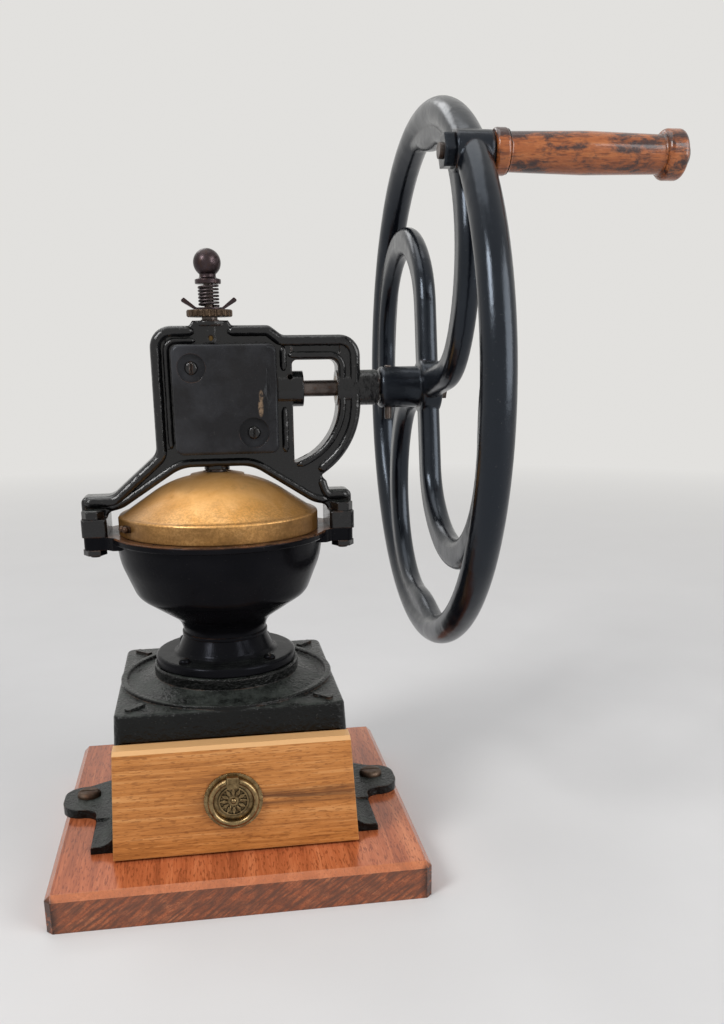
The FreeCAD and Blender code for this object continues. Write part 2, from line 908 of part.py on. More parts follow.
def foot_screw_spot(d):
    """Place and radius of the first of the four flange screws' holes."""
    place = d.foot_screw_circle / root(as_size(2))
    return (place, place, d.foot_screw_shank)


def screw(body, name, sizes, place, level):
    """A domed screw with a slotted head; sizes are head radius, rise, shank radius and length."""
    head, rise, shank, length = sizes
    outline = [(0, level - length), (shank, level - length), (shank, level),
               (head, level), (head, level + rise, rise * MOST), (0, level + rise)]
    return revolve(body, name, outline, shift=place)


def slot(body, name, place, level, width, depth, length):
    """A driver slot cut down from a level."""
    x, y = place
    outline = draw(body, f"{name}_outline", "XY_Plane", [rectangle(length, width / 2)],
                   shift=(x, y, level))
    return pocket(body, name, outline, depth)


def base_screws(doc, d):
    """Two screws through the ears into the board."""
    body = new_body(doc, "base_screws", (d.mill_x - d.ear_screw, d.mill_y, 0))
    level = d.board_height + d.ear_thickness
    sizes = (d.base_screw_head, d.base_screw_rise, d.base_screw_shank, d.base_screw_length)
    head = screw(body, "screw", sizes, (0, 0, 0), level)
    cut = slot(body, "slot", (0, 0), level + d.base_screw_rise, d.slot_width, d.slot_depth,
               d.base_screw_head)
    row(body, "pair", [head, cut], d.ear_screw * 2, "X_Axis")
    return body


# Hopper and burrs.

def hopper(doc, d):
    """Cast hopper: flange, waisted neck, bowl, flat rim and two side lugs."""
    body = mill_body(doc, d, "hopper")
    z = hopper_level(d)
    rim = frame_level(d)
    outline = [(d.seat_bore, z),
               (d.flange_radius, z, d.flange_round / 2),
               (d.flange_radius, z + d.flange_thickness, d.flange_round),
               (d.foot_ring_radius, z + d.flange_thickness, d.flange_round),
               (d.foot_ring_radius - d.flange_round, z + d.foot_ring_height, d.flange_round),
               (d.neck_radius, z + d.bead_low),
               (d.bead_radius, z + d.bead_low),
               (d.bead_radius, z + d.bead_high),
               (d.collar_radius, z + d.bead_high),
               (d.collar_radius, z + d.collar_height, d.collar_sweep),
               (d.bowl_turn_radius, z + d.bowl_turn_height, d.bowl_turn_sweep),
               (d.bowl_side_radius, z + d.bowl_side_height, d.bowl_side_sweep),
               (d.rim_throat, rim - d.rim_thickness),
               (d.rim_radius, rim - d.rim_thickness, d.rim_round),
               (d.rim_radius, rim, d.rim_round),
               (d.seat_bore, rim)]
    revolve(body, "outside", outline)
    waist = d.throat_radius - d.bowl_wall
    lug = [(waist, -d.lug_half - d.lug_round),
           (d.rim_throat, -d.lug_half - d.lug_round),
           (d.rim_radius, -d.lug_half, d.lug_round),
           (d.lug_reach, -d.lug_half, d.lug_round),
           (d.lug_reach, d.lug_half, d.lug_round),
           (d.rim_radius, d.lug_half, d.lug_round),
           (d.rim_throat, d.lug_half + d.lug_round),
           (waist, d.lug_half + d.lug_round)]
    lug_sketch = draw(body, "lug_outline", "XY_Plane", [lug], shift=(0, 0, rim))
    lug_pad = pad(body, "lug", lug_sketch, d.lug_thickness, back=True)
    mirror(body, "far_lug", [lug_pad])
    inside = [(0, z - d.seat_height),
              (d.seat_bore, z - d.seat_height),
              (d.seat_bore, z + d.seat_height),
              (d.neck_bore, z + d.seat_height),
              (d.neck_bore, z + d.bowl_floor_height, d.seat_height),
              (d.bowl_turn_radius - d.bowl_floor_turn, z + d.bowl_turn_height + d.seat_height,
               d.bowl_turn_sweep - d.bowl_wall),
              (d.bowl_side_radius - d.bowl_wall, z + d.bowl_side_height, d.bowl_side_sweep),
              (d.throat_radius, rim + d.seat_height),
              (0, rim + d.seat_height)]
    groove(body, "inside", inside)
    bolts = [(sx * d.frame_bolt_x, sy * d.frame_bolt_y, d.frame_bolt_shank)
             for sx in (-1, 1) for sy in (-1, 1)]
    holes = draw(body, "bolt_holes", "XY_Plane", circles=bolts, shift=(0, 0, rim))
    pocket(body, "bolts", holes, d.lug_thickness * PAST)
    spot = draw(body, "flange_spot", "XY_Plane", circles=[foot_screw_spot(d)],
                shift=(0, 0, z + d.foot_ring_height))
    hole = pocket(body, "flange_hole", spot, d.foot_ring_height * PAST)
    polar(body, "flange_holes", [hole], QUARTERS)
    return body


def hopper_foot_screws(doc, d):
    """Four slotted screws through the hopper's flange into the plinth."""
    body = mill_body(doc, d, "hopper_foot_screws")
    level = hopper_level(d) + d.flange_thickness
    x, y, shank = foot_screw_spot(d)
    sizes = (d.foot_screw_head, d.foot_screw_rise, shank, d.foot_screw_length)
    head = screw(body, "screw", sizes, (x, 0, -y), level)
    cut = slot(body, "slot", (x, y), level + d.foot_screw_rise, d.slot_width * OVER_HALF,
               d.slot_depth * MOST, d.foot_screw_head)
    polar(body, "four", [head, cut], QUARTERS)
    return body


def burr_ring(doc, d):
    """Fixed outer burr seated in the hopper's neck, with grooves down its tapered bore."""
    body = mill_body(doc, d, "burr_ring")
    low = hopper_level(d) + d.seat_height
    top = low + d.burr_height
    outline = [(d.burr_low_bore, low), (d.neck_bore, low), (d.neck_bore, top), (d.burr_top_bore, top)]
    revolve(body, "ring", outline)
    flute = [(d.burr_top_bore - d.groove_half, -d.groove_half),
             (d.burr_top_bore + d.groove_depth, 0),
             (d.burr_top_bore - d.groove_half, d.groove_half)]
    sketch = draw(body, "flute_outline", "XY_Plane", [flute], shift=(0, 0, top))
    cut = pocket(body, "flute", sketch, d.burr_height * OVER_HALF)
    polar(body, "flutes", [cut], d.groove_count)
    return body


def burr_cone(doc, d):
    """Turning inner burr on the spindle, a fluted cone."""
    body = mill_body(doc, d, "burr_cone")
    low = hopper_level(d) + d.cone_lift
    top = low + d.cone_rise
    outline = [(d.spindle_radius, low), (d.cone_low_radius, low),
               (d.cone_low_radius, low + d.seat_height), (d.cone_top_radius, top),
               (d.spindle_radius, top)]
    revolve(body, "cone", outline)
    start = d.cone_top_radius + d.groove_depth
    flute = [(start, 0), (start + d.cone_low_radius, -d.groove_half * 2),
             (start + d.cone_low_radius, d.groove_half * 2)]
    sketch = draw(body, "flute_outline", "XY_Plane", [flute], shift=(0, 0, top))
    cut = pocket(body, "flute", sketch, d.cone_rise * OVER_HALF)
    polar(body, "flutes", [cut], d.groove_count)
    return body


def spindle(doc, d):
    """Upright shaft from the bridge through the burr and gear frame to the adjuster."""
    body = mill_body(doc, d, "spindle")
    low = deck_level(d) - d.base_deck - d.bridge_thickness - d.bridge_boss_drop
    cap = frame_level(d) + d.cap_top
    core = adjuster_level(d) + d.disc_thickness + d.wing_thickness
    outline = [(0, low), (d.journal_radius, low), (d.journal_radius, d.journal_top),
               (d.spindle_radius, d.journal_top), (d.spindle_radius, cap + d.screw_drop),
               (d.screw_radius, cap + d.screw_drop), (d.screw_radius, core),
               (d.core_radius, core), (d.core_radius, d.core_top), (0, d.core_top)]
    revolve(body, "shaft", outline)
    height = axle_level(d) + pin_height(d)
    pin = draw(body, "pin_outline", "XZ_Plane", circles=[(0, height, d.gear_pin_radius)])
    pocket(body, "pin_hole", pin, d.spindle_radius * THROUGH, both=True)
    return body


def spindle_bridge(doc, d):
    """Flat bar under the deck that carries the spindle's lower journal."""
    body = mill_body(doc, d, "spindle_bridge")
    top = deck_level(d) - d.base_deck
    bar = rectangle(d.bridge_length / 2, d.bridge_width / 2, d.bridge_width / 3)
    sketch = draw(body, "bar_outline", "XY_Plane", [bar], shift=(0, 0, top))
    pad(body, "bar", sketch, d.bridge_thickness, back=True)
    boss = draw(body, "boss_outline", "XY_Plane", circles=[(0, 0, d.bridge_boss)], shift=(0, 0, top))
    pad(body, "boss", boss, d.bridge_thickness + d.bridge_boss_drop, back=True)
    bore = draw(body, "bore_outline", "XY_Plane",
                circles=[(0, 0, d.journal_radius + d.running_gap)], shift=(0, 0, top))
    pocket(body, "bore", bore, d.bridge_thickness * 2)
    spots = [(side * d.bridge_screw_place, 0, d.bridge_screw_shank) for side in (-1, 1)]
    holes = draw(body, "screw_spots", "XY_Plane", circles=spots, shift=(0, 0, top))
    pocket(body, "screw_holes", holes, d.bridge_thickness * 2)
    return body


def bridge_screws(doc, d):
    """Two screws up through the bridge into the deck."""
    body = new_body(doc, "bridge_screws", (d.mill_x - d.bridge_screw_place, d.mill_y, 0))
    under = deck_level(d) - d.base_deck - d.bridge_thickness
    outline = [(0, under - d.bridge_screw_rise),
               (d.bridge_screw_head, under - d.bridge_screw_rise, d.bridge_screw_rise / 2),
               (d.bridge_screw_head, under), (d.bridge_screw_shank, under),
               (d.bridge_screw_shank, under + d.bridge_thickness + d.bridge_screw_grip),
               (0, under + d.bridge_thickness + d.bridge_screw_grip)]
    head = revolve(body, "screw", outline)
    row(body, "pair", [head], d.bridge_screw_place * 2, "X_Axis")
    return body


# Gear frame with its fasteners, bushes and covers.

def frame_outline(d):
    """Front view of the frame: two arms on feet, an arch, a tower and a braced bracket."""
    z = frame_level(d)
    turn = d.brace_outer_turn
    foot_turn = d.brace_height - d.brace_outer * tangent(turn / 2)
    end_x = d.brace_x + d.brace_outer * cosine(turn)
    end_z = d.brace_height - d.brace_outer * sine(turn)
    notch_x = end_x - sine(turn) * d.frame_bolt_shank
    notch_z = end_z - cosine(turn) * d.frame_bolt_shank
    slope = d.tower_round * UNDER_HALF
    return [(-d.frame_reach, z),
            (-d.frame_reach, z + d.arm_top, slope),
            (-d.arm_inner, z + d.arm_top, d.tower_round),
            (-d.tower_left, z + d.tower_turn, d.tower_round),
            (-d.tower_left, z + d.tower_top, d.tower_corner),
            (-d.cap_half - slope / 2, z + d.tower_top, slope / 2),
            (-d.cap_half, z + d.cap_top),
            (d.cap_half, z + d.cap_top),
            (d.cap_half + slope / 2, z + d.tower_top, slope / 2),
            (d.bracket_start - d.tower_round * MOST, z + d.tower_top, d.tower_round * OVER_HALF),
            (d.bracket_start, z + d.bracket_drop, d.tower_round * OVER_HALF),
            (d.bracket_reach, z + d.bracket_drop, d.bracket_round),
            (d.bracket_reach, z + foot_turn, d.brace_outer),
            (notch_x, z + notch_z, slope / 4),
            (notch_x + slope, z + d.arm_top - d.frame_bolt_shank / 8, slope / 2),
            (d.frame_reach, z + d.arm_top - d.frame_bolt_shank / 8, slope),
            (d.frame_reach, z),
            (d.foot_inner, z),
            (d.foot_inner, z + d.arch_foot, slope),
            (d.arch_turn, z + d.arch_turn_height, d.tower_round * 2),
            (d.arch_top_turn, z + d.arch_top, d.arch_round),
            (-d.arch_top_turn, z + d.arch_top, d.arch_round),
            (-d.arch_turn, z + d.arch_turn_height, d.tower_round * 2),
            (-d.foot_inner, z + d.arch_foot, slope),
            (-d.foot_inner, z)]


def frame_windows(d):
    """The gear chamber and the bracket's open window."""
    z = frame_level(d)
    small = d.cover_corner
    turn = d.brace_inner_turn
    inner_x = d.brace_x + d.brace_inner
    inner_z = d.brace_height - d.brace_inner * tangent(turn / 2)
    end_x = d.brace_x + d.brace_inner * cosine(turn)
    end_z = d.brace_height - d.brace_inner * sine(turn)
    low = end_z - (end_x - d.window_left) * cosine(turn) / sine(turn)
    chamber = box_outline(d.chamber_left, z + d.chamber_low, d.chamber_right,
                          z + d.chamber_high, small)
    window = [(d.window_left, z + d.window_high, small * OVER_HALF),
              (inner_x, z + d.window_high, small),
              (inner_x, z + inner_z, d.brace_inner),
              (d.window_left, z + low, small / 4)]
    return chamber, window


def gear_frame(doc, d):
    """Cast frame bolted to the hopper: arms, tower with the gear chamber, bracket and bearings."""
    body = mill_body(doc, d, "gear_frame")
    z = frame_level(d)
    axle = axle_level(d)
    outline = draw(body, "web_outline", "XZ_Plane", [frame_outline(d)])
    pad(body, "web", outline, d.frame_half * 2, both=True)
    dress("Fillet", body, "web_round", d.web_round,
          lambda edge: edge.CenterOfMass.z > z.value + NEAR
          and all_points(edge, lambda p: abs(abs(p.y) - d.frame_half.value) < NEAR))
    foot = box_outline(d.foot_inner, -d.foot_block_half, d.frame_reach, d.foot_block_half,
                       d.lug_round * OVER_HALF)
    foot_sketch = draw(body, "foot_outline", "XY_Plane", [foot], shift=(0, 0, z))
    foot_pad = pad(body, "foot", foot_sketch, d.foot_block_height)
    mirror(body, "far_foot", [foot_pad])
    chamber, window = frame_windows(d)
    openings = draw(body, "windows_outline", "XZ_Plane", [chamber, window])
    pocket(body, "windows", openings, d.frame_half * THROUGH, both=True)
    channels(body, d)
    column = draw(body, "column_outline", "XY_Plane", circles=[(0, 0, d.column_radius)],
                  shift=(0, 0, z + d.column_low))
    pad(body, "column", column, d.cap_top - d.column_low)
    cap = draw(body, "cap_outline", "XY_Plane", circles=[(0, 0, d.cap_half)],
               shift=(0, 0, z + d.cap_top))
    pad(body, "cap", cap, d.cap_top - d.tower_top, back=True)
    boss = draw(body, "boss_outline", "XY_Plane", circles=[(0, 0, d.boss_radius)],
                shift=(0, 0, z + d.boss_low))
    pad(body, "boss", boss, d.chamber_low - d.boss_low)
    for name, start, end in (("inner_block", d.inner_block_start, d.inner_block_end),
                             ("outer_block", d.outer_block_start, d.outer_block_end)):
        circle = draw(body, f"{name}_outline", "YZ_Plane", circles=[(0, axle, d.block_radius)],
                      shift=(0, 0, start))
        pad(body, name, circle, end - start)
    add_pillars(body, d)
    bore = draw(body, "bush_outline", "XY_Plane", circles=[(0, 0, d.top_bush_radius)],
                shift=(0, 0, z + d.cap_top))
    pocket(body, "bush_seat", bore, d.cap_top - d.chamber_high + d.cover_corner)
    hole = draw(body, "spindle_outline", "XY_Plane", circles=[(0, 0, d.spindle_hole)],
                shift=(0, 0, z + d.chamber_low + d.cover_corner))
    pocket(body, "spindle_hole", hole, d.chamber_low - d.boss_low + d.cover_corner * 2)
    axle_bore = draw(body, "axle_outline", "YZ_Plane", circles=[(0, axle, d.axle_bush_radius)],
                     shift=(0, 0, d.outer_block_end))
    pocket(body, "axle_bore", axle_bore, d.outer_block_end - d.chamber_right + d.cover_corner)
    bolts = [(sx * d.frame_bolt_x, sy * d.frame_bolt_y, d.frame_bolt_shank)
             for sx in (-1, 1) for sy in (-1, 1)]
    feet = draw(body, "bolt_spots", "XY_Plane", circles=bolts, shift=(0, 0, z + d.foot_block_height))
    pocket(body, "bolt_holes", feet, d.foot_block_height * PAST)
    oil = [(0, z + d.column_low + d.oil_rise, d.oil_hole),
           ((d.inner_block_start + d.inner_block_end) / 2, axle + d.axle_bush_radius, d.oil_hole)]
    oil_sketch = draw(body, "oil_outline", "XZ_Plane", circles=oil, shift=(0, 0, d.block_radius))
    pocket(body, "oil_holes", oil_sketch, d.block_radius - d.oil_hole)
    return body


def channels(body, d):
    """Shallow channels that leave raised beads along the arms, tower and bracket."""
    z = frame_level(d)
    bead = d.cover_round
    arm_low = z + d.arch_foot + bead
    arm_high = z + d.arm_top - bead
    end = d.frame_reach - bead
    start = d.arm_inner + bead
    middle = (arm_low + arm_high) / 2
    gap = bead / 3
    arms = []
    for side in (-1, 1):
        for low, high in ((arm_low, middle - gap), (middle + gap, arm_high)):
            corners = [(side * start, low), (side * end, low), (side * end, high), (side * start, high)]
            arms.append(corners if side > 0 else corners[::-1])
    tower_left = [(-d.tower_left + bead, z + d.tower_turn + bead, bead),
                  (d.cover_left - bead, z + d.tower_turn + bead, bead),
                  (d.cover_left - bead, z + d.tower_top - bead, bead),
                  (-d.tower_left + bead, z + d.tower_top - bead, bead)]
    shelf = box_outline(d.window_left, z + d.window_high + bead, d.bracket_reach - d.bracket_round,
                        z + d.bracket_drop - bead, bead)
    for name, loops in (("arm_beads", arms), ("tower_bead", [tower_left]), ("shelf_bead", [shelf])):
        sketch = draw(body, f"{name}_outline", "XZ_Plane", loops, shift=(0, 0, d.frame_half))
        cut = pocket(body, name, sketch, d.bead_depth)
        mirror(body, f"{name}_rear", [cut], "XZ_Plane")


def add_pillars(body, d):
    """Two tapped pillars that carry the gear covers, each webbed to the chamber's wall."""
    z = frame_level(d)
    high = box_outline(d.chamber_left - d.pillar_web, z + d.pillar_high_z - d.pillar_web,
                       d.pillar_high_x, z + d.pillar_high_z + d.pillar_web)
    low = box_outline(d.pillar_low_x - d.pillar_web, z + d.chamber_low - d.pillar_web,
                      d.pillar_low_x + d.pillar_web, z + d.pillar_low_z)
    webs = draw(body, "pillar_webs", "XZ_Plane", [high, low])
    pad(body, "pillar_web", webs, d.frame_half * 2, both=True)
    rounds = draw(body, "pillar_rounds", "XZ_Plane", circles=pillar_circles(d, d.pillar_radius))
    pad(body, "pillars", rounds, d.pillar_half * 2, both=True)
    taps = draw(body, "pillar_taps", "XZ_Plane", circles=pillar_circles(d, d.cover_screw_shank))
    pocket(body, "taps", taps, d.pillar_half * THROUGH, both=True)


def pillar_circles(d, radius):
    """A circle on each pillar's axis, seen from the front."""
    z = frame_level(d)
    return [(d.pillar_high_x, z + d.pillar_high_z, radius), (d.pillar_low_x, z + d.pillar_low_z, radius)]


def frame_bolts(doc, d):
    """Four domed hexagon bolts through the frame's feet and the hopper's lugs."""
    body = new_body(doc, "frame_bolts", (d.mill_x - d.frame_bolt_x, d.mill_y - d.frame_bolt_y, 0))
    level = frame_level(d) + d.foot_block_height
    head = draw(body, "head_outline", "XY_Plane", [hexagon(d.frame_bolt_flats)], shift=(0, 0, level))
    pad(body, "head", head, d.frame_bolt_head)
    dress("Fillet", body, "dome", d.frame_bolt_dome,
          lambda edge: all_points(edge, lambda p: p.z > (level + d.frame_bolt_head).value - NEAR))
    tail = d.foot_block_height + d.lug_thickness + d.frame_nut_height + d.frame_bolt_dome
    shank = draw(body, "shank_outline", "XY_Plane", circles=[(0, 0, d.frame_bolt_shank)],
                 shift=(0, 0, level))
    pad(body, "shank", shank, tail, back=True)
    return grid_of(body, d)


def frame_nuts(doc, d):
    """Four hexagon nuts under the hopper's lugs."""
    body = new_body(doc, "frame_nuts", (d.mill_x - d.frame_bolt_x, d.mill_y - d.frame_bolt_y, 0))
    level = frame_level(d) - d.lug_thickness
    nut = draw(body, "nut_outline", "XY_Plane", [hexagon(d.frame_nut_flats)],
               [(0, 0, d.frame_bolt_shank)], shift=(0, 0, level))
    pad(body, "nut", nut, d.frame_nut_height, back=True)
    return grid_of(body, d)


def grid_of(body, d):
    """Repeat all of a fastener at the frame's four bolt places."""
    grid = body.newObject("PartDesign::MultiTransform", f"{body.Name}_grid")
    grid.Originals = [item for item in body.Group if item.TypeId in ("PartDesign::Pad",)]
    steps = []
    for axis, length in (("X_Axis", d.frame_bolt_x * 2), ("Y_Axis", d.frame_bolt_y * 2)):
        step = body.Document.addObject("PartDesign::LinearPattern", f"{body.Name}_{axis}")
        body.addObject(step)
        step.Direction = (role(body, axis), [""])
        step.Occurrences = 2
        step.Length = length.value
        bind(step, "Length", length)
        steps.append(step)
    grid.Transformations = steps
    body.Tip = grid
    body.Document.recompute()
    return body


def gear_cover(doc, d, name, side):
    """Pressed sheet cover with two dished screw seats; side is 1 for the front, -1 for the rear."""
    body = mill_body(doc, d, name)
    z = frame_level(d)
    face = d.frame_half + d.cover_depth
    back = side < 0
    outline = box_outline(d.cover_left, z + d.cover_low, d.cover_right, z + d.cover_high,
                          d.cover_corner)
    start = draw(body, "block_outline", "XZ_Plane", [outline], shift=(0, 0, side * d.frame_half))
    pad(body, "block", start, d.cover_depth, back=back)
    front_y = -side * face.value
    dress("Fillet", body, "edge", d.cover_round,
          lambda edge: all_points(edge, lambda p: abs(p.y - front_y) < NEAR))
    shell(body, "sheet", d.cover_sheet,
          lambda f: abs(f.CenterOfMass.y + side * d.frame_half.value) < NEAR)
    for kind, name, extra, depth in ((pad, "cup", d.cover_sheet, d.dish_depth + d.cover_sheet),
                                     (pocket, "dish", as_size(0), d.dish_depth)):
        spots = [(d.pillar_high_x, z + d.pillar_high_z, d.dish_high + extra),
                 (d.pillar_low_x, z + d.pillar_low_z, d.dish_low + extra)]
        sketch = draw(body, f"{name}_outline", "XZ_Plane", circles=spots, shift=(0, 0, side * face))
        kind(body, name, sketch, depth, back=back == (kind is pocket))
    holes = pillar_circles(d, d.cover_screw_shank)
    drill = draw(body, "hole_outline", "XZ_Plane", circles=holes, shift=(0, 0, side * face))
    pocket(body, "holes", drill, d.cover_depth, back=back)
    return body


def cover_screws(doc, d):
    """Two domed slotted screws in each gear cover."""
    body = mill_body(doc, d, "cover_screws")
    seat = d.frame_half + d.cover_depth - d.dish_depth
    items = []
    for index, (x, z, shank) in enumerate(pillar_circles(d, d.cover_screw_shank)):
        outline = [(seat - d.cover_screw_length, 0), (seat - d.cover_screw_length, shank),
                   (seat, shank), (seat, d.cover_screw_head),
                   (seat + d.cover_screw_rise, d.cover_screw_head, d.cover_screw_rise * MOST),
                   (seat + d.cover_screw_rise, 0)]
        flipped = [(-corner[0],) + tuple(corner[1:]) for corner in outline]
        items.append(revolve(body, f"screw_{index}", flipped, plane="YZ_Plane", axis="H_Axis",
                             shift=(0, z, x)))
        cut = draw(body, f"slot_outline_{index}", "XZ_Plane",
                   [rectangle(d.slot_width * UNDER_HALF, d.cover_screw_head)],
                   shift=(x, z, seat + d.cover_screw_rise))
        items.append(pocket(body, f"slot_{index}", cut, d.slot_depth * MOST))
    mirror(body, "rear", items, "XZ_Plane")
    return body


def spindle_bush(doc, d):
    """Bronze bush for the spindle in the frame's cap."""
    body = mill_body(doc, d, "spindle_bush")
    low = frame_level(d) + d.column_low
    top = frame_level(d) + d.cap_top
    bore = d.spindle_radius + d.running_gap
    outline = [(bore, low), (d.top_bush_radius, low), (d.top_bush_radius, top), (bore, top)]
    revolve(body, "bush", outline)
    return body


def axle_bushes(doc, d):
    """Bronze bushes for the axle in the frame's two bearing blocks."""
    body = new_body(doc, "axle_bushes", (d.mill_x, d.mill_y, axle_level(d)))
    bore = d.axle_radius + d.running_gap
    for name, start, end in (("inner", d.chamber_right, d.inner_block_end),
                             ("outer", d.outer_block_start, d.outer_block_end)):
        outline = [(start, bore), (end, bore), (end, d.axle_bush_radius), (start, d.axle_bush_radius)]
        revolve(body, name, outline, axis="H_Axis")
    return body


# Bevel gears. Both are drawn with the cone's apex at the origin and the gear below it.

def gear_points(d, distance):
    """Root line's radius and height at a distance along the pitch cone from the apex."""
    reach = distance / root(as_size(2))
    drop = d.tooth_below * distance / (d.gear_radius * root(as_size(2))) / root(as_size(2))
    return reach - drop, -reach - drop


def gear_tooth(body, d, name, distance):
    """Section of one tooth square to the pitch cone at a distance from the apex."""
    share = distance / (d.gear_radius * root(as_size(2)))
    tip = d.tooth_above * share
    bottom = (d.tooth_below + d.tooth_above / 4) * share
    tip_half = (d.tooth_half - d.tooth_above * d.tooth_slope) * share
    root_half = (d.tooth_half + d.tooth_below * d.tooth_slope) * share
    corners = [(-root_half, -bottom), (root_half, -bottom), (tip_half, tip), (-tip_half, tip)]
    tilt = Rotation(Vector(0, 1, 0), Vector(1, 0, 1), Vector(1, 0, -1), "ZYX")
    reach = distance / root(as_size(2))
    sketch = draw(body, name, "XY_Plane", [corners], turn=tilt)
    sketch.AttachmentOffset = Placement(Vector(reach.value, 0, -reach.value), tilt)
    bind(sketch, "AttachmentOffset.Base.x", reach)
    bind(sketch, "AttachmentOffset.Base.z", -reach)
    return sketch


def bevel_gear(doc, d, name, bore, hub_end):
    """Mitre gear with straight tapered teeth and a hub behind it."""
    body = new_body(doc, name)
    far = d.gear_radius * root(as_size(2))
    near = far - d.gear_face
    far_r, far_z = gear_points(d, far)
    near_r, near_z = gear_points(d, near)
    back = d.gear_back / root(as_size(2))
    outline = [(bore, near_z), (near_r, near_z), (far_r, far_z), (far_r - back, far_z - back),
               (d.gear_hub, far_z - back), (d.gear_hub, -hub_end), (bore, -hub_end)]
    revolve(body, "blank", outline)
    wide = gear_tooth(body, d, "tooth_far", far)
    narrow = gear_tooth(body, d, "tooth_near", near)
    tooth = loft("Additive", body, "tooth", wide, narrow)
    polar(body, "teeth", [tooth], d.gear_teeth)
    return body


def spindle_gear(doc, d):
    """Gear on the spindle below the axle, a tooth towards the axle's gear."""
    body = bevel_gear(doc, d, "spindle_gear", d.spindle_radius, d.spindle_hub_end)
    pin = draw(body, "pin_outline", "XZ_Plane", circles=[(0, pin_height(d), d.gear_pin_radius)])
    pocket(body, "pin_hole", pin, d.gear_hub * THROUGH, both=True)
    put(body, (d.mill_x, d.mill_y, axle_level(d)))
    return body


def axle_gear(doc, d):
    """Gear on the axle's inner end, a gap towards the spindle's gear."""
    body = bevel_gear(doc, d, "axle_gear", d.axle_radius, d.axle_hub_end)
    half_step = Rotation(Vector(0, 0, 1), HALF_TURN / d.gear_teeth.value)
    lay = Rotation(Vector(0, 1, 0), -RIGHT_ANGLE)
    put(body, (d.mill_x, d.mill_y, axle_level(d)), lay.multiply(half_step))
    return body


def pin_height(d):
    """Height of the spindle gear's pin, below the axle."""
    return (d.gear_radius + d.gear_back + d.spindle_hub_end) / -2 - d.gear_pin_radius


def spindle_gear_pin(doc, d):
    """Pin through the spindle gear's hub, square to the axle."""
    body = new_body(doc, "spindle_gear_pin", (d.mill_x, d.mill_y, axle_level(d)))
    pin = draw(body, "outline", "XZ_Plane", circles=[(0, pin_height(d), d.gear_pin_radius)])
    pad(body, "pin", pin, d.gear_hub * 2, both=True)
    return body


# Axle, flywheel and handle.

def axle(doc, d):
    """Shaft from the gear to the flywheel, with a reduced threaded tip."""
    body = new_body(doc, "axle", (d.mill_x, d.mill_y, axle_level(d)))
    end = wheel_offset(d) + d.hub_end
    tip = end + d.axle_washer_thickness + d.axle_nut_height + d.axle_tip
    outline = [(d.axle_start, 0), (tip, 0), (tip, d.axle_radius, d.axle_radius / 4),
               (d.axle_start, d.axle_radius)]
    revolve(body, "shaft", outline, axis="H_Axis")
    pin = draw(body, "pin_outline", "XY_Plane",
               circles=[(d.hub_pin_place - d.mill_x, 0, d.hub_pin_radius)])
    pocket(body, "pin_hole", pin, d.axle_radius * THROUGH, both=True)
    return body


def wheel_offset(d):
    """Distance of the flywheel's plane from the mill's axis."""
    return d.wheel_x - d.mill_x


def wheel_body(doc, d, name):
    """An empty body placed at the flywheel's centre."""
    return new_body(doc, name, (d.wheel_x, d.mill_y, axle_level(d)))


def handle_place(d):
    """Handle's axis in the flywheel's plane."""
    return (d.wheel_radius * cosine(d.handle_angle), d.wheel_radius * sine(d.handle_angle))


def spoke_path(body, d):
    """Centre line of a hooked spoke: a straight start and four tangent arcs, each a radius and a turn."""
    sketch = draw(body, "spoke_path", "YZ_Plane")
    rules = []
    angle = math.radians(d.spoke_angle.value)
    spot = Vector(math.cos(angle), math.sin(angle), 0) * d.spoke_straight.value
    last = sketch.addGeometry(Part.LineSegment(Vector(), spot))
    tie(rules, "Coincident", last, 1, -1, 1)
    fix(rules, "DistanceX", d.spoke_straight * cosine(d.spoke_angle), last)
    fix(rules, "DistanceY", d.spoke_straight * sine(d.spoke_angle), last)
    full = d.spoke_angle + RIGHT_ANGLE - d.spoke_bend_turn
    bends = [(d.spoke_bend, d.spoke_bend_turn, -1), (d.spoke_sweep, full, -1),
             (d.spoke_merge, d.spoke_merge_turn, 1), (d.spoke_merge, d.spoke_merge_turn, -1)]
    end = 2
    for radius, turn, side in bends:
        sweep = side * turn.value
        spoke = Vector(math.sin(angle), -math.cos(angle), 0) * side * radius.value
        centre = spot - spoke
        middle = centre + turned(spoke, sweep / 2)
        target = centre + turned(spoke, sweep)
        bend = sketch.addGeometry(Part.ArcOfCircle(spot, middle, target))
        first = arc_start(sketch, bend, spot)
        tie(rules, "Tangent", last, end, bend, first)
        fix(rules, "Radius", radius, bend)
        rules.append((Sketcher.Constraint("Angle", bend, math.radians(turn.value)), turn))
        last = bend
        end = START + END - first
        spot = target
        angle += math.radians(sweep)
    settle(sketch, rules)
    return sketch


def turned(vector, degrees):
    """A vector turned about the vertical axis of its sketch."""
    return Rotation(Vector(0, 0, 1), degrees).multVec(vector)


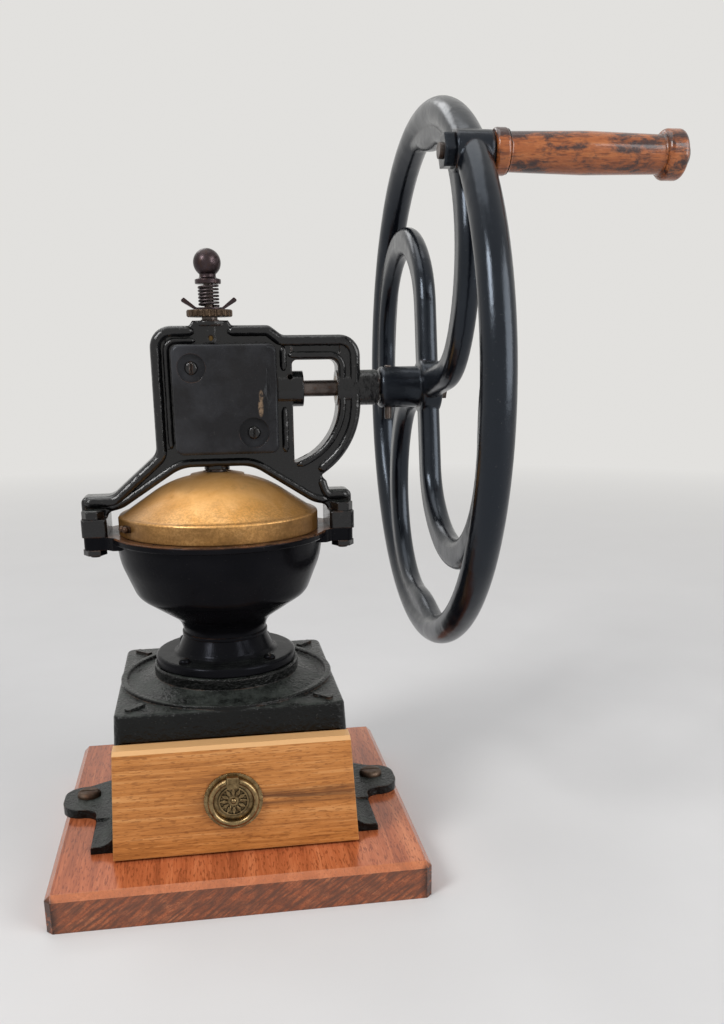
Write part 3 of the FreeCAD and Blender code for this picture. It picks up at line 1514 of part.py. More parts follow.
def flywheel(doc, d):
    """Cast flywheel: round rim, four hooked oval spokes, long hub and a boss for the handle."""
    body = wheel_body(doc, d, "flywheel")
    rim = draw(body, "rim_outline", "XZ_Plane", circles=[(0, d.wheel_radius, d.rim_tube)])
    spin("Revolution", body, "rim", rim, "H_Axis")
    path = spoke_path(body, d)
    oval = rectangle(d.spoke_half_axial, d.spoke_half_plane, d.spoke_half_axial * NEARLY)
    section = draw(body, "spoke_section", "XY_Plane", [oval])
    spoke = body.newObject("PartDesign::AdditivePipe", "flywheel_spoke")
    spoke.Profile = section
    spoke.Spine = path
    body.Document.recompute()
    polar(body, "spokes", [spoke], QUARTERS, "X_Axis")
    hub = [(d.hub_start, 0), (d.hub_end, 0), (d.hub_end, d.hub_radius, d.hub_pin_radius),
           (d.hub_start, d.hub_radius, d.hub_pin_radius)]
    revolve(body, "hub", hub, axis="H_Axis")
    boss = [(-d.hub_boss_half, 0), (d.hub_boss_half, 0), (d.hub_boss_half, d.hub_boss, d.hub_pin_radius),
            (-d.hub_boss_half, d.hub_boss, d.hub_pin_radius)]
    revolve(body, "boss", boss, axis="H_Axis")
    y, z = handle_place(d)
    seat = draw(body, "seat_outline", "YZ_Plane", circles=[(y, z, d.handle_boss)])
    pad(body, "seat", seat, d.handle_boss_half * 2, both=True)
    bore = draw(body, "bore_outline", "YZ_Plane", circles=[(0, 0, d.axle_radius)],
                shift=(0, 0, d.hub_end))
    pocket(body, "bore", bore, d.hub_end - d.hub_start + d.hub_boss)
    hole = draw(body, "hole_outline", "YZ_Plane", circles=[(y, z, d.handle_bolt)],
                shift=(0, 0, d.handle_boss_half))
    pocket(body, "handle_hole", hole, d.handle_boss_half * THROUGH)
    pin = draw(body, "pin_outline", "XY_Plane",
               circles=[(d.hub_pin_place - d.wheel_x, 0, d.hub_pin_radius)])
    pocket(body, "pin_hole", pin, d.hub_radius * THROUGH, both=True)
    return body


def hub_pin(doc, d):
    """Taper pin through the flywheel's hub and the axle, its lower end standing out."""
    body = new_body(doc, "hub_pin", (d.hub_pin_place, d.mill_y, axle_level(d)))
    soft = d.hub_pin_radius / 3
    outline = [(0, -d.hub_pin_drop), (d.hub_pin_radius, -d.hub_pin_drop, soft),
               (d.hub_pin_radius, d.hub_pin_rise, soft), (0, d.hub_pin_rise)]
    revolve(body, "pin", outline)
    return body


def axle_nut(doc, d):
    """Hexagon nut on the axle's outer end."""
    start = wheel_offset(d) + d.hub_end + d.axle_washer_thickness
    body = new_body(doc, "axle_nut", (d.mill_x, d.mill_y, axle_level(d)))
    sketch = draw(body, "outline", "YZ_Plane", [hexagon(d.axle_nut_flats)], [(0, 0, d.axle_radius)],
                  shift=(0, 0, start))
    pad(body, "nut", sketch, d.axle_nut_height)
    return body


def axle_washer(doc, d):
    """Washer between the flywheel's hub and its nut."""
    body = new_body(doc, "axle_washer", (d.mill_x, d.mill_y, axle_level(d)))
    sketch = draw(body, "outline", "YZ_Plane",
                  circles=[(0, 0, d.axle_washer_radius), (0, 0, d.axle_radius)],
                  shift=(0, 0, wheel_offset(d) + d.hub_end))
    pad(body, "washer", sketch, d.axle_washer_thickness)
    return body


def handle_body(doc, d, name):
    """An empty body placed on the handle's axis in the flywheel's plane."""
    y, z = handle_place(d)
    return new_body(doc, name, (d.wheel_x, d.mill_y + y, axle_level(d) + z))


def grip_start(d):
    """Inner end of the grip from the flywheel's plane."""
    return d.handle_boss_half + d.handle_washer_thickness + d.handle_gap


def handle_grip(doc, d):
    """Turned wooden grip that spins on its bolt."""
    body = handle_body(doc, d, "handle_grip")
    start = grip_start(d)
    end = start + d.grip_length
    bore = d.handle_bolt + d.grip_bore_gap
    bead = start + d.grip_bead_length
    knob = end - d.grip_end_length
    soft = d.grip_bead_length * UNDER_HALF
    outline = [(start, bore), (end, bore), (end, d.grip_end_bead, soft), (knob, d.grip_end_bead, soft),
               (knob, d.grip_waist, soft * UNDER_HALF), ((knob + bead) / 2, d.grip_belly, d.grip_length),
               (bead, d.grip_waist, soft * UNDER_HALF), (bead, d.grip_bead, soft * OVER_HALF),
               (start, d.grip_bead, soft * OVER_HALF)]
    revolve(body, "grip", outline, axis="H_Axis")
    return body


def handle_bolt(doc, d):
    """Bolt through the rim's boss and the grip, with a domed outer head."""
    body = handle_body(doc, d, "handle_bolt")
    end = grip_start(d) + d.grip_length + d.handle_gap
    start = -d.handle_boss_half - d.handle_nut_height - d.handle_washer_thickness * 2
    outline = [(start, 0), (end + d.handle_head_rise, 0),
               (end + d.handle_head_rise, d.handle_head, d.handle_head_rise * MOST),
               (end, d.handle_head), (end, d.handle_bolt), (start, d.handle_bolt)]
    revolve(body, "bolt", outline, axis="H_Axis")
    return body


def handle_nut(doc, d):
    """Hexagon nut on the inner side of the rim's boss."""
    body = handle_body(doc, d, "handle_nut")
    sketch = draw(body, "outline", "YZ_Plane", [hexagon(d.handle_nut_flats)], [(0, 0, d.handle_bolt)],
                  shift=(0, 0, -d.handle_boss_half))
    pad(body, "nut", sketch, d.handle_nut_height, back=True)
    return body


def handle_washer(doc, d):
    """Washer between the rim's boss and the grip."""
    body = handle_body(doc, d, "handle_washer")
    sketch = draw(body, "outline", "YZ_Plane",
                  circles=[(0, 0, d.handle_washer), (0, 0, d.handle_bolt)],
                  shift=(0, 0, d.handle_boss_half))
    pad(body, "washer", sketch, d.handle_washer_thickness)
    return body


# Adjuster above the frame.

def adjuster_level(d):
    """Underside of the notched disc."""
    return frame_level(d) + d.cap_top + d.disc_lift


def notched_disc(doc, d):
    """Adjusting disc with notches round its edge."""
    body = mill_body(doc, d, "notched_disc")
    low = adjuster_level(d)
    bore = d.screw_radius + d.running_gap
    soft = d.disc_thickness / 4
    outline = [(bore, low), (d.disc_radius, low, soft),
               (d.disc_radius, low + d.disc_thickness, soft), (bore, low + d.disc_thickness)]
    revolve(body, "disc", outline)
    notch = draw(body, "notch_outline", "XY_Plane", circles=[(d.disc_radius, 0, d.notch_radius)],
                 shift=(0, 0, low + d.disc_thickness * PAST))
    cut = pocket(body, "notch", notch, d.disc_thickness * THROUGH)
    polar(body, "notches", [cut], d.notch_count)
    return body


def wing_plate(doc, d):
    """Thumb plate on the disc: a flat centre and two wings that rise outward."""
    body = mill_body(doc, d, "wing_plate")
    low = adjuster_level(d) + d.disc_thickness
    top = low + d.wing_thickness
    bend = d.wing_sheet * NEARLY
    outline = [(-d.wing_inner, low, bend * 2), (d.wing_inner, low, bend * 2),
               (d.wing_tip, low + d.wing_rise, d.wing_sheet * UNDER_HALF),
               (d.wing_tip - d.wing_sheet, low + d.wing_rise + d.wing_sheet * NEARLY,
                d.wing_sheet * UNDER_HALF),
               (d.wing_inner - d.wing_sheet * UNDER_HALF, top, bend),
               (-d.wing_inner + d.wing_sheet * UNDER_HALF, top, bend),
               (-d.wing_tip + d.wing_sheet, low + d.wing_rise + d.wing_sheet * NEARLY,
                d.wing_sheet * UNDER_HALF),
               (-d.wing_tip, low + d.wing_rise, d.wing_sheet * UNDER_HALF)]
    sketch = draw(body, "outline", "XZ_Plane", [outline])
    pad(body, "plate", sketch, d.wing_half * 2, both=True)
    hub = draw(body, "hub_outline", "XY_Plane", circles=[(0, 0, d.wing_inner)], shift=(0, 0, low))
    pad(body, "hub", hub, d.wing_thickness)
    bore = draw(body, "bore_outline", "XY_Plane", circles=[(0, 0, d.screw_radius + d.running_gap)],
                shift=(0, 0, top))
    pocket(body, "bore", bore, d.wing_thickness * 2)
    return body


def spring_points(d):
    """Points and directions of the spring's centre line, every quarter turn of the helix."""
    bottom = adjuster_level(d) + d.disc_thickness + d.wing_thickness + d.spring_gap + d.spring_wire / 2
    pitch = d.spring_pitch.value
    mean = d.spring_mean.value
    rise = pitch / (2 * math.pi)
    marks = []
    for step in range(int(d.spring_turns.value) * QUARTERS + 1):
        angle = math.pi / 2 * step
        point = Vector(mean * math.cos(angle), mean * math.sin(angle), bottom.value + rise * angle)
        ahead = Vector(-mean * math.sin(angle), mean * math.cos(angle), rise).normalize()
        marks.append((point, ahead))
    return marks


def tangent_arc(start, ahead, end):
    """Circular arc from a start point along a direction to an end point."""
    chord = end - start
    along = Vector(chord).normalize()
    angle = ahead.getAngle(chord)
    if angle < TINY:
        return Part.LineSegment(start, end).toShape()
    side = (ahead - along * ahead.dot(along)).normalize()
    middle = start + chord / 2 + side * (chord.Length / 2 * math.tan(angle / 2))
    return Part.Arc(start, middle, end).toShape()


def biarc(start, ahead, end, beyond):
    """Two tangent arcs that join two points with given directions."""
    chord = end - start
    across = 2 * (1 - ahead.dot(beyond))
    lean = chord.dot(ahead + beyond)
    reach = (math.sqrt(lean * lean + across * chord.dot(chord)) - lean) / across
    joint = (start + end + (ahead - beyond) * reach) / 2
    first = tangent_arc(start, ahead, joint)
    second = tangent_arc(end, -beyond, joint)
    return [first, second]


def spring_tail(d, mark, side):
    """Quarter bend and straight end of the spring, square to the spindle's core."""
    point, ahead = mark
    outward = Vector(point.x, point.y, 0).normalize()
    bend = (d.spring_mean - d.core_radius - d.spring_wire).value
    level = Vector(ahead.x, ahead.y, 0).normalize() * side
    corner = point + level * bend - outward * bend
    stop = corner - outward * d.spring_wire.value
    bends = biarc(point, ahead * side, corner, -outward)
    return bends, Part.LineSegment(corner, stop).toShape()


def adjusting_spring(doc, d):
    """Coil spring round the spindle's core as one unbroken tube."""
    marks = spring_points(d)
    edges = []
    for (start, ahead), (end, beyond) in zip(marks, marks[1:]):
        edges += biarc(start, ahead, end, beyond)
    low_bends, low_end = spring_tail(d, marks[0], -1)
    high_bends, high_end = spring_tail(d, marks[-1], 1)
    wire = Part.Wire(Part.__sortEdges__([low_end] + low_bends + edges + high_bends + [high_end]))
    first = low_end.Vertexes[1].Point
    heading = low_end.Vertexes[0].Point - first
    ring = Part.Wire(Part.Circle(first, heading, d.spring_wire.value / 2).toShape())
    tube = Part.BRepOffsetAPI.MakePipeShell(wire)
    tube.add(ring)
    tube.build()
    tube.makeSolid()
    spring = doc.addObject("Part::Feature", "adjusting_spring")
    spring.Label = "adjusting_spring"
    spring.Shape = tube.shape()
    put(spring, (d.mill_x, d.mill_y, 0))
    print("adjusting_spring least gap between turns", round(spring_clearance(d, marks), 3))
    return spring


def spring_clearance(d, marks):
    """Least gap between one turn of the spring and the next, measured on helix points."""
    gaps = [(a[0] - b[0]).Length for a, b in zip(marks, marks[QUARTERS:])]
    return min(gaps) - d.spring_wire.value


def knob_level(d):
    """Underside of the adjusting knob's collar, above the spring."""
    rise = d.spring_pitch * d.spring_turns
    seat = adjuster_level(d) + d.disc_thickness + d.wing_thickness
    return seat + d.spring_gap * 2 + d.spring_wire + rise


def adjusting_knob(doc, d):
    """Turned knob on the spindle's end: collar, neck and ball."""
    body = mill_body(doc, d, "adjusting_knob")
    low = knob_level(d)
    arc = root(d.knob_ball * d.knob_ball - d.knob_neck * d.knob_neck)
    collar = low + d.knob_collar_height
    outline = [(d.core_radius, low), (d.knob_collar, low, d.knob_collar_soft),
               (d.knob_collar, collar, d.knob_collar_soft),
               (d.knob_neck, collar + d.knob_collar_height / 3, d.knob_collar_height / 2),
               (d.knob_neck, low + d.knob_ball_height - arc),
               (d.core_radius, low + d.knob_ball_height - arc)]
    revolve(body, "collar", outline)
    ball = body.newObject("PartDesign::AdditiveSphere", "adjusting_knob_ball")
    ball.Radius = d.knob_ball.value
    bind(ball, "Radius", d.knob_ball)
    ball.AttachmentOffset = Placement(Vector(0, 0, (low + d.knob_ball_height).value), Rotation())
    ball.AttachmentSupport = [(role(body, "XY_Plane"), "")]
    ball.MapMode = "FlatFace"
    bind(ball, "AttachmentOffset.Base.z", low + d.knob_ball_height)
    doc.recompute()
    bore = draw(body, "bore_outline", "XY_Plane", circles=[(0, 0, d.core_radius)], shift=(0, 0, low))
    pocket(body, "bore", bore, d.core_top - low, back=True)
    return body


# Lid.

def dome_height(d, radius):
    """Height of the dome's upper slope at a radius inside the crown."""
    slope = (d.lid_top_rise - d.lid_crown_rise) / (d.lid_crown - d.lid_top)
    return frame_level(d) + d.lid_crown_rise + (d.lid_crown - radius) * slope


def lid_line(d, spread, start, foot):
    """The dome's outer line from its top to the foot of its band, opened out by spread."""
    z = frame_level(d)
    rise = spread * d.lid_rise_share
    return [(start, dome_height(d, start) + rise),
            (d.lid_crown, z + d.lid_crown_rise + rise, d.lid_crown_sweep),
            (d.lid_shoulder + spread, z + d.lid_shoulder_rise + rise, d.lid_shoulder_sweep),
            (d.lid_radius + spread, z + d.lid_band + rise, d.lid_edge_round),
            (d.lid_radius + spread, z + foot)]


def lid_section(d, outer, inner, start, foot):
    """Closed section of the sheet between two spreads."""
    return lid_line(d, outer, start, foot) + lid_line(d, inner, start, foot)[::-1]


def lid_dome(doc, d):
    """Fixed brass dome on the hopper's rim with a filling opening at its front."""
    body = mill_body(doc, d, "lid_dome")
    section = lid_section(d, as_size(0), -d.lid_sheet, d.lid_top, as_size(0))
    revolve(body, "dome", section)
    near = d.lid_opening_ring
    far = d.lid_radius * PAST
    across = sine(d.lid_opening)
    along = cosine(d.lid_opening)
    wedge = [(near * along, -near * across), (far * along, -far * across),
             (far, -far * across), (far, far * across),
             (far * along, far * across), (near * along, near * across)]
    top = frame_level(d) + d.lid_top_rise + d.lid_opening_lip
    cut = draw(body, "opening_outline", "XY_Plane", [wedge], shift=(0, 0, top),
               turn=Rotation(Vector(0, 0, 1), d.door_angle.value))
    pocket(body, "opening", cut, d.lid_top_rise)
    return body


def door_body(doc, d, name, turn=0):
    """An empty body on the mill's axis, its X axis a turn away from the middle of the lid's door."""
    body = mill_body(doc, d, name)
    angle = d.door_angle + turn
    body.Placement.Rotation = Rotation(Vector(0, 0, 1), angle.value)
    return body


def door_spread(d):
    """How far the door's outer face stands off the dome."""
    return d.door_gap + d.door_sheet


def lid_door(doc, d):
    """Sheet door that turns about the spindle over the dome's opening, with a centre ring."""
    body = door_body(doc, d, "lid_door")
    section = lid_section(d, door_spread(d), d.door_gap, d.door_ring_bore, d.door_foot)
    revolve(body, "leaf", section, angle=d.door_half_angle * 2)
    low = d.door_gap * d.lid_rise_share
    high = door_spread(d) * d.lid_rise_share
    ring = [(d.door_ring_bore, dome_height(d, d.door_ring_bore) + low),
            (d.door_ring, dome_height(d, d.door_ring) + low),
            (d.door_ring, dome_height(d, d.door_ring) + high),
            (d.door_ring_bore, dome_height(d, d.door_ring_bore) + high)]
    revolve(body, "ring", ring)
    return body


def lid_knob(doc, d):
    """Small knob of two balls on a plate, on the band of the lid's door."""
    body = door_body(doc, d, "lid_knob", d.lid_knob_turn)
    face = d.lid_radius + door_spread(d)
    height = frame_level(d) + d.lid_knob_rise
    half = d.lid_knob_spread + d.lid_knob_ball
    plate = box_outline(-half, height - d.lid_knob_ball, half, height + d.lid_knob_ball,
                        d.lid_knob_ball * MOST)
    sketch = draw(body, "plate_outline", "YZ_Plane", [plate], shift=(0, 0, face - d.door_sheet / 2))
    pad(body, "plate", sketch, d.lid_knob_plate + d.door_sheet / 2)
    back = draw(body, "back_outline", "XY_Plane", circles=[(0, 0, face)],
                shift=(0, 0, height - d.lid_knob_ball * 2))
    pocket(body, "back", back, d.lid_knob_ball * QUARTERS, back=True)
    for name, side in (("ball_left", -1), ("ball_right", 1)):
        ball = body.newObject("PartDesign::AdditiveSphere", f"lid_{name}")
        ball.AttachmentSupport = [(role(body, "XY_Plane"), "")]
        ball.MapMode = "FlatFace"
        spot = (face + d.lid_knob_ball + d.lid_knob_plate / 2, d.lid_knob_spread * side, height)
        ball.AttachmentOffset = Placement(Vector(*[value.value for value in spot]), Rotation())
        for axis, value in zip("xyz", spot):
            bind(ball, f"AttachmentOffset.Base.{axis}", value)
        ball.Radius = d.lid_knob_ball.value
        bind(ball, "Radius", d.lid_knob_ball)
        doc.recompute()
    return body


# Drawer and its ring pull.

def drawer_half(d):
    """Half-width of the drawer's box."""
    return flank(d, d.mouth_height) - d.base_wall - d.drawer_side_gap


def drawer_back_y(d):
    """Rear face of the drawer's box."""
    return flank(d, d.mouth_height) - d.base_wall - d.drawer_back_gap


def front_slab(d, height, depth):
    """Distance in front of the mill's axis of a plane parallel to the sloping front."""
    return flank(d, height) + d.drawer_front_gap + depth


def drawer_front(doc, d):
    """Sloping wooden front with a bevelled top edge."""
    body = mill_body(doc, d, "drawer_front")
    sketches = []
    for name, height in (("low", d.drawer_front_low), ("top", d.drawer_front_top)):
        half = flank(d, height) + d.drawer_overhang
        far = -front_slab(d, height, d.drawer_front_thickness)
        near = -front_slab(d, height, as_size(0))
        outline = [(-half, far), (half, far), (half, near), (-half, near)]
        sketches.append(draw(body, name, "XY_Plane", [outline], shift=(0, 0, d.board_height + height)))
    loft("Additive", body, "slab", *sketches)
    y, z = pull_spot(d)
    hole = draw(body, "pull_hole_outline", "XZ_Plane", circles=[(0, 0, d.pull_screw_radius)],
                shift=(d.pull_x, z, -y), turn=Rotation(Vector(1, 0, 0), -slope_angle(d)))
    pocket(body, "pull_hole", hole, d.pull_screw_length)
    front = front_slab(d, d.drawer_front_top, d.drawer_front_thickness)
    dress("Chamfer", body, "bevel", d.drawer_bevel,
          lambda edge: all_points(edge, lambda p: abs(p.y + front.value) < NEAR))
    return body


def slope_angle(d):
    """Lean of the drawer's front from the vertical, in degrees."""
    return math.degrees(math.atan(d.base_flare.value / d.base_height.value))


def drawer_side(doc, d, name, side):
    """Side board, its front end cut to the front's slope; side is -1 left, 1 right."""
    body = mill_body(doc, d, name)
    low = d.drawer_clearance
    high = low + d.drawer_side_height
    back = drawer_back_y(d)
    outline = [(-front_slab(d, low, as_size(0)), d.board_height + low), (back, d.board_height + low),
               (back, d.board_height + high), (-front_slab(d, high, as_size(0)), d.board_height + high)]
    inner = drawer_half(d) - d.drawer_board
    start = inner if side > 0 else -drawer_half(d)
    sketch = draw(body, "outline", "YZ_Plane", [outline], shift=(0, 0, start))
    pad(body, "board", sketch, d.drawer_board)
    return body


def drawer_back(doc, d):
    """Back board between the sides, down to the floor."""
    body = mill_body(doc, d, "drawer_back")
    inner = drawer_half(d) - d.drawer_board
    low = d.board_height + d.drawer_clearance + d.drawer_floor_lift
    high = d.board_height + d.drawer_clearance + d.drawer_side_height
    sketch = draw(body, "outline", "XZ_Plane", [box_outline(-inner, low, inner, high)],
                  shift=(0, 0, -drawer_back_y(d)))
    pad(body, "board", sketch, d.drawer_back_board)
    return body


def drawer_floor(doc, d):
    """Thin floor between the sides, from the front to the back board."""
    body = mill_body(doc, d, "drawer_floor")
    low = d.drawer_clearance + d.drawer_floor_lift
    high = low + d.drawer_floor
    back = drawer_back_y(d) - d.drawer_back_board
    outline = [(-front_slab(d, low, as_size(0)), d.board_height + low), (back, d.board_height + low),
               (back, d.board_height + high), (-front_slab(d, high, as_size(0)), d.board_height + high)]
    inner = drawer_half(d) - d.drawer_board
    sketch = draw(body, "outline", "YZ_Plane", [outline], shift=(0, 0, -inner))
    pad(body, "board", sketch, inner * 2)
    return body


def pull_spot(d):
    """Depth and height of the pull's centre on the front's face, from the mill's axis."""
    return -front_slab(d, d.pull_z, d.drawer_front_thickness), d.board_height + d.pull_z


def pull_body(doc, d, name):
    """An empty body on the sloping front: X to the right, Z up the slope, front towards -Y."""
    y, z = pull_spot(d)
    body = new_body(doc, name, (d.mill_x + d.pull_x, d.mill_y + y, z))
    body.Placement.Rotation = Rotation(Vector(1, 0, 0), -slope_angle(d))
    return body


def pull_backplate(doc, d):
    """Round plate with a knurled edge and a twelve-petalled rosette."""
    body = pull_body(doc, d, "pull_backplate")
    disc = draw(body, "disc_outline", "XZ_Plane", circles=[(0, 0, d.plate_radius)])
    pad(body, "disc", disc, d.plate_thickness)
    nick = draw(body, "nick_outline", "XZ_Plane",
                circles=[(d.plate_radius + d.plate_tooth, 0, d.plate_tooth * 2)])
    cut = pocket(body, "nick", nick, d.plate_thickness * THROUGH, both=True)
    polar(body, "nicks", [cut], d.plate_teeth, "Y_Axis")
    rosette = draw(body, "rosette_outline", "XZ_Plane",
                   circles=[(0, 0, d.rosette_radius), (0, 0, d.petal_end)],
                   shift=(0, 0, d.plate_thickness))
    pad(body, "rosette", rosette, d.rosette_rise)
    middle = (d.petal_start + d.petal_end) / 2
    tip = (d.petal_end + d.rosette_radius) / 2
    petal = [(d.petal_start, 0), (middle, -d.petal_half, d.petal_half), (tip, 0),
             (middle, d.petal_half, d.petal_half)]
    leaf = draw(body, "petal_outline", "XZ_Plane", [petal], shift=(0, 0, d.plate_thickness))
    petal_pad = pad(body, "petal", leaf, d.petal_rise)
    polar(body, "petals", [petal_pad], d.petal_count, "Y_Axis")
    hole = draw(body, "hole_outline", "XZ_Plane", circles=[(0, 0, d.pull_screw_radius)],
                shift=(0, 0, d.plate_thickness * 2))
    pocket(body, "hole", hole, d.plate_thickness * THROUGH)
    return body


def pull_holder(doc, d):
    """Block on the plate that holds the ring's hinge bar."""
    body = pull_body(doc, d, "pull_holder")
    low = d.hinge_height - d.holder_height / 2
    high = d.hinge_height + d.holder_height / 2
    outline = box_outline(-d.holder_half_width, low, d.holder_half_width, high, d.holder_wall / 2)
    block = draw(body, "outline", "XZ_Plane", [outline], shift=(0, 0, d.plate_thickness))
    pad(body, "block", block, d.ring_stand + d.hinge_bar + d.holder_wall - d.plate_thickness)
    bore = draw(body, "bore_outline", "YZ_Plane",
                circles=[(-d.ring_stand, d.hinge_height, d.hinge_bar + d.running_gap)])
    pocket(body, "bore", bore, d.holder_half_width * THROUGH, both=True)
    return body


def pull_ring(doc, d):
    """Ring of round wire with a straight hinge bar at its top."""
    body = pull_body(doc, d, "pull_ring")
    wire = draw(body, "wire_outline", "XY_Plane",
                circles=[(d.ring_centre_radius, -d.ring_stand, d.ring_tube)])
    wire.AttachmentOffset = Placement()
    ring = body.newObject("PartDesign::Revolution", "pull_ring_hoop")
    ring.Profile = wire
    axis = draw(body, "axis", "XY_Plane", [[(0, -d.ring_stand - d.ring_tube), (0, -d.ring_stand)]],
                closed=False)
    ring.ReferenceAxis = (axis, ["Edge1"])
    ring.Angle = FULL_TURN
    doc.recompute()
    gap = d.holder_half_width + d.ring_side_gap
    top = box_outline(-gap, d.hinge_height / 2, gap, d.hinge_height + d.ring_tube * 2)
    cut = draw(body, "gap_outline", "XZ_Plane", [top])
    pocket(body, "gap", cut, d.ring_stand * THROUGH * 2, both=True)
    bar = draw(body, "bar_outline", "YZ_Plane", circles=[(-d.ring_stand, d.hinge_height, d.hinge_bar)])
    pad(body, "bar", bar, gap * 2 + d.ring_tube, both=True)
    return body


def pull_screw(doc, d):
    """Round-headed screw at the rosette's centre."""
    body = pull_body(doc, d, "pull_screw")
    face = -d.plate_thickness
    outline = [(d.pull_screw_length - d.plate_thickness, 0),
               (d.pull_screw_length - d.plate_thickness, d.pull_screw_radius),
               (face, d.pull_screw_radius), (face, d.rosette_boss),
               (face - d.rosette_boss_rise, d.rosette_boss, d.rosette_boss_rise * NEARLY),
               (face - d.rosette_boss_rise, 0)]
    revolve(body, "screw", outline, plane="YZ_Plane", axis="H_Axis")
    return body


def build(doc, d):
    """Every sub-part in order."""
    return [
        base_board(doc, d), base_casting(doc, d), base_screws(doc, d),
        hopper(doc, d), hopper_foot_screws(doc, d), burr_ring(doc, d), burr_cone(doc, d),
        spindle(doc, d), spindle_bridge(doc, d), bridge_screws(doc, d),
        gear_frame(doc, d), frame_bolts(doc, d), frame_nuts(doc, d),
        gear_cover(doc, d, "cover_front", 1), gear_cover(doc, d, "cover_rear", -1),
        cover_screws(doc, d), spindle_bush(doc, d), axle_bushes(doc, d),
        spindle_gear(doc, d), spindle_gear_pin(doc, d), axle_gear(doc, d),
        axle(doc, d), flywheel(doc, d), hub_pin(doc, d), axle_washer(doc, d), axle_nut(doc, d),
        handle_bolt(doc, d), handle_nut(doc, d), handle_washer(doc, d), handle_grip(doc, d),
        notched_disc(doc, d), wing_plate(doc, d), adjusting_spring(doc, d), adjusting_knob(doc, d),
        lid_dome(doc, d), lid_door(doc, d), lid_knob(doc, d),
        drawer_front(doc, d), drawer_side(doc, d, "drawer_side_left", -1),
        drawer_side(doc, d, "drawer_side_right", 1), drawer_back(doc, d), drawer_floor(doc, d),
        pull_backplate(doc, d), pull_holder(doc, d), pull_ring(doc, d), pull_screw(doc, d),
    ]


def faults(doc, nodes):
    """Names of objects in an error state and of sub-parts without a sound shape."""
    found = [item.Name for item in doc.Objects if {"Invalid", "Error"} & set(item.State)]
    for node in nodes:
        if node.Shape.isNull() or not node.Shape.isValid() or not node.Shape.Solids:
            found.append(node.Label)
    return found


def main():
    """Build the grinder, check it and write one STEP file for each sub-part."""
    doc = FreeCAD.newDocument("coffee_grinder")
    sheet = Sheet(doc, SIZES)
    doc.recompute()
    nodes = build(doc, sheet)
    doc.recompute()
    found = faults(doc, nodes)
    if found:
        raise RuntimeError(f"faulty objects: {', '.join(found)}")
    os.makedirs("parts", exist_ok=True)
    for node in nodes:
        node.Shape.exportStep(f"parts/{node.Label}.step")
        print(node.Label, len(node.Shape.Solids), round(node.Shape.Volume, 1))


main()
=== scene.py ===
"""Looks of the manual coffee grinder: worn paint, browned steel, brass and varnished wood."""

import json
import math

import bpy
from mathutils import Matrix, Vector, noise as lumps_of


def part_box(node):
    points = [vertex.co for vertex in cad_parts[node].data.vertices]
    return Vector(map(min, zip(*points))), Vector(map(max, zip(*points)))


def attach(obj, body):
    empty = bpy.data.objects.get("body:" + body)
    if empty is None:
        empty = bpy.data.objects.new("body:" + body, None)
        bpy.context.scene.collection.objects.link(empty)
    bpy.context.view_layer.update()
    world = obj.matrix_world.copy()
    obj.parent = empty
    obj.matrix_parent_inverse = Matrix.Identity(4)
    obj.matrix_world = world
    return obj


MM = 0.001

# The camera, fitted to the photograph: metres, degrees and image pixels.
PHOTO_WIDTH = 724
PHOTO_HEIGHT = 1024
FOCAL_PIXELS = 987.75
CENTRE_COLUMN = 362.17
CENTRE_ROW = 616.74
CAMERA_PLACE = Vector((-0.01085, -0.63276, 0.32213))
CAMERA_PITCH = math.radians(15.31)
CAMERA_ROLL = math.radians(-0.68)
CAMERA_YAW = math.radians(9.05)
SENSOR = 36.0

# Beads on the cast frame, millimetres: half-width, rise, and a path of (x from spindle, z, corner radius).
FRAME_BEADS = {
    "bead_left": (3.2, 2.5, [(-83.0, 230.0), (-64.6, 230.0, 8.0), (-33.6, 257.1, 8.0), (-33.6, 332.0, 9.6),
                             (-10.0, 332.0)]),
    "bead_right": (3.2, 2.5, [(10.0, 332.0), (34.3, 332.0, 5.0), (42.3, 326.0, 5.0), (88.4, 326.0, 9.4),
                              (88.4, 262.0, 48.6), (64.4, 245.8)]),
    "bead_right_foot": (2.8, 2.0, [(65.5, 241.0), (69.0, 229.8, 4.0), (83.0, 229.8)]),
    "bead_arch": (2.5, 1.8, [(-70.0, 226.6), (-60.9, 228.4, 23.0), (-22.9, 252.8, 22.0), (22.9, 252.8, 22.0),
                             (60.9, 228.4, 23.0), (70.0, 226.6)]),
    "bead_inner": (2.0, 1.6, [(-27.5, 262.0), (-27.5, 326.6, 6.0), (-9.5, 326.6)]),
    "bead_window": (2.1, 1.6, [(46.5, 317.4), (80.6, 317.4, 7.9), (80.6, 259.1, 41.0), (50.5, 249.4)]),
    "bead_post_high": (2.3, 1.5, [(43.6, 308.0), (43.6, 323.0)]),
    "bead_post_low": (2.3, 1.5, [(43.6, 258.0), (43.6, 286.0)]),
    "bead_foot_left": (1.6, 1.0, [(-83.0, 221.5), (-71.5, 221.5)]),
}
# From the frame's middle to each face that carries beads, metres.
FRAME_HALF = 0.008
# How far a bead's foot lies in the frame, and the length of its pieces, millimetres.
BEAD_SUNK = 0.5
BEAD_STEP = 1.5
BEAD_SIDES = 12
BEAD_LUMP = 0.10
BEAD_LUMP_SCALE = 0.6
# A bead's end, as a share of its size, and what each step inward adds.
BEAD_END = 0.45
BEAD_END_GAIN = 0.3

# Fasteners that were painted over with what they hold.
PAINTED_OVER = {"cover_screws": "frame_paint", "frame_bolts": "frame_paint", "frame_nuts": "frame_paint",
                "hopper_foot_screws": "hopper_paint", "handle_nut": "wheel_paint",
                "handle_washer": "wheel_paint"}

